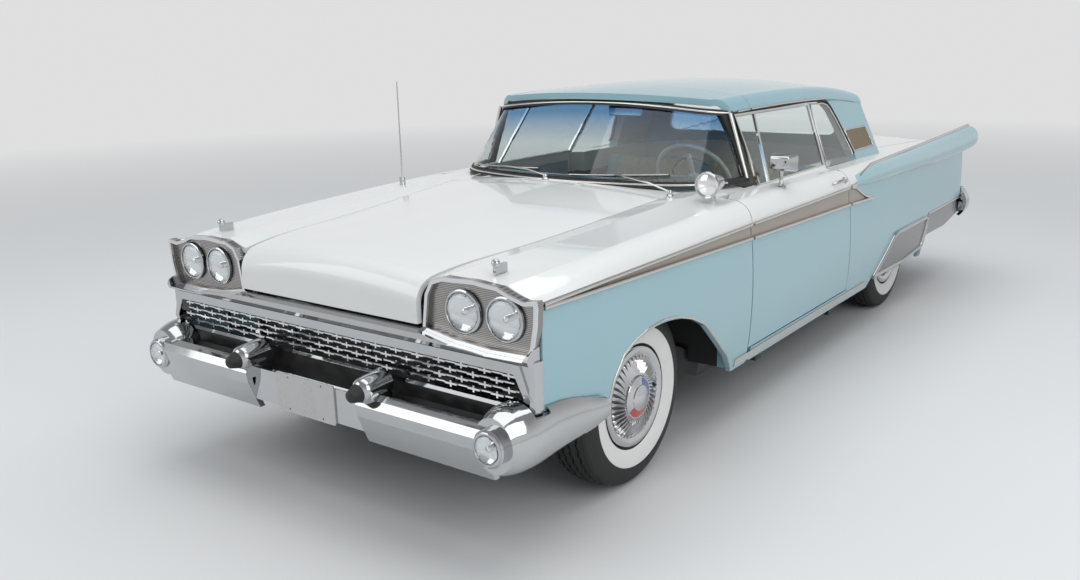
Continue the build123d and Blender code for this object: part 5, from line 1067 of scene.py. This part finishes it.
def pad(name, node, outline, half_width, face_way):
    """A filled seat pad over an outline of (y, z), with pleats on the side that faces a way."""
    shape = bmesh.new()
    corners = [shape.verts.new((-half_width, at_y, at_z)) for at_y, at_z in outline]
    pushed = bmesh.ops.extrude_face_region(shape, geom=[shape.faces.new(corners)])["geom"]
    moved = [item for item in pushed if isinstance(item, bmesh.types.BMVert)]
    bmesh.ops.translate(shape, vec=(2 * half_width, 0, 0), verts=moved)
    bmesh.ops.holes_fill(shape, edges=shape.edges)
    round_edges(shape, 0.028, 3)
    bmesh.ops.recalc_face_normals(shape, faces=shape.faces)
    piece = settle(name, shape, [seat_cloth], "body", 180)
    remesh = piece.modifiers.new("remesh", "REMESH")
    remesh.mode = "VOXEL"
    remesh.voxel_size = PAD_VOXEL
    applied(piece)
    rest = [vertex.co.copy() for vertex in piece.data.vertices]
    filling = piece.modifiers.new("filling", "CLOTH")
    filling.settings.use_pressure = True
    filling.settings.uniform_pressure_force = 4
    filling.settings.effector_weights.gravity = 0
    for step in range(1, 21):
        scene.frame_set(step)
    applied(piece)
    scene.frame_set(1)
    for vertex, start in zip(piece.data.vertices, rest):
        shift = vertex.co - start
        if shift.length > PAD_CAP:
            vertex.co = start + shift * (PAD_CAP / shift.length)
    smooth = piece.modifiers.new("smooth", "SUBSURF")
    smooth.levels = smooth.render_levels = 1
    applied(piece)
    normals = [vertex.normal.copy() for vertex in piece.data.vertices]
    for vertex, normal in zip(piece.data.vertices, normals):
        away = abs(vertex.co.x)
        facing_share = max(0.0, normal.dot(face_way))
        if PANEL_FROM - 0.012 < away < PANEL_TO + 0.012 and facing_share > 0.5:
            across_pleat = (away - PANEL_FROM) % PLEAT
            across_pleat = min(across_pleat, PLEAT - across_pleat)
            depth = 0.008 * max(0.0, 1 - across_pleat / 0.013)
            vertex.co -= Vector(face_way) * depth
    piece.data.materials.clear()
    piece.data.materials.append(seat_cloth.material)
    piece.data.shade_smooth()
    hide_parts(node)
    return piece


UPWARDS = Vector((0, 0, 1))
pad(
    "front_bench_cushion", "front_seat_cushion",
    [(-0.098, 0.338), (0.358, 0.338), (0.358, 0.520), (-0.098, 0.538)], 0.658, UPWARDS,
)
pad(
    "front_bench_back", "front_seat_back",
    [(0.285, 0.582), (0.372, 0.582), (0.480, 0.978), (0.400, 0.978)], 0.658,
    Vector((0, -0.948, 0.318)),
)
pad(
    "rear_bench_cushion", "rear_seat_cushion",
    [(0.612, 0.563), (0.878, 0.563), (0.878, 0.630), (0.612, 0.638)], 0.538, UPWARDS,
)
pad(
    "rear_bench_back", "rear_seat_back",
    [(0.818, 0.682), (0.935, 0.682), (0.962, 0.908), (0.900, 0.908)], 0.538,
    Vector((0, -0.95, 0.31)),
)

# Steering wheel and column: moulded white plastic with a chrome horn ring and boss.
wheel_plastic = Finish("white wheel plastic", {"Coat Weight": 0.6})
wheel_plastic.cloudy(wheel_plastic.noise(12, 3), (0.68, 0.68, 0.64), (0.77, 0.77, 0.74), 0.25, 0.1)
coat(wheel_plastic, "steering_wheel")
column_paint = Finish("blue column paint", {"Coat Weight": 0.6})
column_paint.cloudy(column_paint.noise(12, 3), (0.17, 0.33, 0.40), (0.20, 0.37, 0.44), 0.35, 0.1)
coat(column_paint, "steering_column")
HUB = Vector((0.390, -0.424, 0.976))
TO_DRIVER = Vector((0, 0.883, 0.469)).normalized()
shape = bmesh.new()
boss = [(0.036, 0.004), (0.036, 0.012), (0.030, 0.019), (0.016, 0.024), (0.0, 0.0255)]
lathe(shape, boss, facing(HUB + TO_DRIVER * 0.012, TO_DRIVER), 40)
ring = [(0.118 + 0.0042 * cos(2 * pi * k / 8), 0.020 + 0.0042 * sin(2 * pi * k / 8)) for k in range(8)]
lathe(shape, ring, facing(HUB, TO_DRIVER), 56, ring=True)
settle("horn_ring", shape, [chrome], "steering_wheel", 40)

# Dashboard: a painted pressing under a padded top, with a row of round dials before the
# driver, a clock, a radio and a glove box lid.
dash_paint = Finish("blue dash enamel", {"Coat Weight": 0.8})
x, y, z = dash_paint.place()
grain = dash_paint.noise(160, 3)
padded_top = z > 0.955
cloud = dash_paint.noise(6, 3)
painted = dash_paint.mix(cloud, (0.30, 0.51, 0.57, 1), (0.33, 0.54, 0.60, 1))
dash_paint.feed("Base Color", dash_paint.mix(padded_top, painted, (0.10, 0.21, 0.27, 1)))
dash_paint.feed("Roughness", 0.32 + padded_top * 0.3 + cloud * 0.05)
dash_paint.bump(grain * padded_top, 0.0006, 0.5)
coat(dash_paint, "dashboard")
dial_face = Finish("dial face", {"Coat Weight": 0.8})
x, y, z = dial_face.place()
tick = (x + z).wave(0.012) > 0.8
dial_face.feed("Base Color", dial_face.mix(tick, (0.020, 0.022, 0.025, 1), (0.55, 0.57, 0.55, 1)))
dial_face.feed("Roughness", 0.3 + dial_face.noise(40) * 0.1)
dash_skin = skin("dashboard")
shape = bmesh.new()
for at_x, at_z, radius in [
    (0.390, 0.880, 0.056), (0.255, 0.872, 0.036), (0.525, 0.872, 0.036), (0.030, 0.872, 0.032)
]:
    hit = met(dash_skin, (at_x, 0.2, at_z), (0, -1, 0))
    if hit is None:
        continue
    placing = facing(hit, (0, 1, 0.12))
    faces_before = set(shape.faces)
    lathe(
        shape,
        [(radius, -0.002), (radius, 0.008), (radius - 0.004, 0.012), (radius - 0.008, 0.006)],
        placing, 40,
    )
    rims = set(shape.faces) - faces_before
    lathe(shape, [(radius - 0.008, 0.006), (radius * 0.5, 0.0065), (0.0, 0.0068)], placing, 40)
    for face in set(shape.faces) - faces_before - rims:
        face.material_index = 1
for at_x in (-0.090, -0.050, 0.115, 0.155, 0.195):
    hit = met(dash_skin, (at_x, 0.2, 0.835), (0, -1, 0))
    if hit is not None:
        knob = [
            (0.008, -0.004), (0.008, 0.010), (0.013, 0.013), (0.013, 0.024), (0.010, 0.028),
            (0.0, 0.029),
        ]
        lathe(shape, knob, facing(hit, (0, 1, 0.12)), 20)
settle("dash_dials", shape, [chrome, dial_face], "body", 40)
glove_run = []
for at_x, at_z in along(
    [(-0.600, 0.815), (-0.260, 0.815), (-0.260, 0.925), (-0.600, 0.925), (-0.600, 0.815)], 0.03
):
    hit = met(dash_skin, (at_x, 0.2, at_z), (0, -1, 0))
    if hit is not None:
        glove_run.append((at_x, hit.y + 0.001, at_z))
bead("glove_box_edge", [glove_run], 0.006, stainless)

# Door trim: a card of blue vinyl and beige cloth over each door's inner face, with a bright
# strip, an armrest and a window crank.
card_cloth = Finish("door card", {})
x, y, z = card_cloth.place()
grain = card_cloth.noise(160, 4)
insert = (z > 0.560) * (z < 0.800)
flute_wave = y.wave(0.040)
beige = card_cloth.mix(grain, (0.46, 0.41, 0.33, 1), (0.60, 0.55, 0.45, 1))
card_cloth.feed("Base Color", card_cloth.mix(insert, (0.20, 0.38, 0.45, 1), beige))
card_cloth.feed("Roughness", 0.45 + insert * 0.3 + grain * 0.05)
card_cloth.bump(grain * 0.4 + flute_wave * insert, 0.0018, 0.6)
for side_name, side_sign in SIDES:
    shape = bmesh.new()
    bmesh.ops.create_grid(shape, x_segments=24, y_segments=10, size=0.5)
    for vertex in shape.verts:
        at_y = -0.300 + vertex.co.x * 0.980
        at_z = 0.665 + vertex.co.y * 0.560
        edge = max(abs(vertex.co.x), abs(vertex.co.y)) > 0.49
        vertex.co = Vector((side_sign * (0.7895 if edge else 0.7865), at_y, at_z))
    bmesh.ops.recalc_face_normals(shape, faces=shape.faces)
    middle = next(iter(shape.faces))
    if middle.normal.x * side_sign > 0:
        bmesh.ops.reverse_faces(shape, faces=shape.faces)
    settle(f"door_card_{side_name}", shape, [card_cloth], f"door_{side_name}", 40)
    shape = rounded_box((0.048, 0.320, 0.048), (side_sign * 0.7655, -0.020, 0.640), 0.016, 4)
    settle(f"armrest_{side_name}", shape, [card_cloth], f"door_{side_name}", 40)
    card_side = -side_sign
    shape = bmesh.new()
    rose = [(0.022, 0.0), (0.022, 0.006), (0.014, 0.010), (0.0, 0.011)]
    lathe(shape, rose, facing((side_sign * 0.7875, -0.340, 0.640), (card_side, 0, 0)), 28)
    knob = [(0.011, 0.004), (0.011, 0.026), (0.008, 0.030), (0.0, 0.031)]
    lathe(shape, knob, facing((side_sign * 0.7835, -0.440, 0.600), (card_side, 0, 0)), 24)
    settle(f"window_crank_{side_name}", shape, [chrome], f"door_{side_name}", 40)
    rod = [(side_sign * 0.778, -0.340, 0.640), (side_sign * 0.776, -0.440, 0.600)]
    strip = [(side_sign * 0.786, -0.785, 0.806), (side_sign * 0.786, 0.185, 0.806)]
    bead(f"card_brightwork_{side_name}", [rod, strip], 0.008, stainless, f"door_{side_name}")

# Rear-view mirror: a small silvered glass on a stem from the header.
shape = rounded_box((0.190, 0.014, 0.050), (0, -0.420, 1.300), 0.006, 3)
settle("rear_view_mirror", shape, [silver], "body", 40)
bead(
    "mirror_stem", [[(0, -0.424, 1.310), (0, -0.445, 1.340), (0, -0.450, 1.362)]], 0.010, chrome,
    "body",
)

# The ends: the box round everything the scene shows.
low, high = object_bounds()
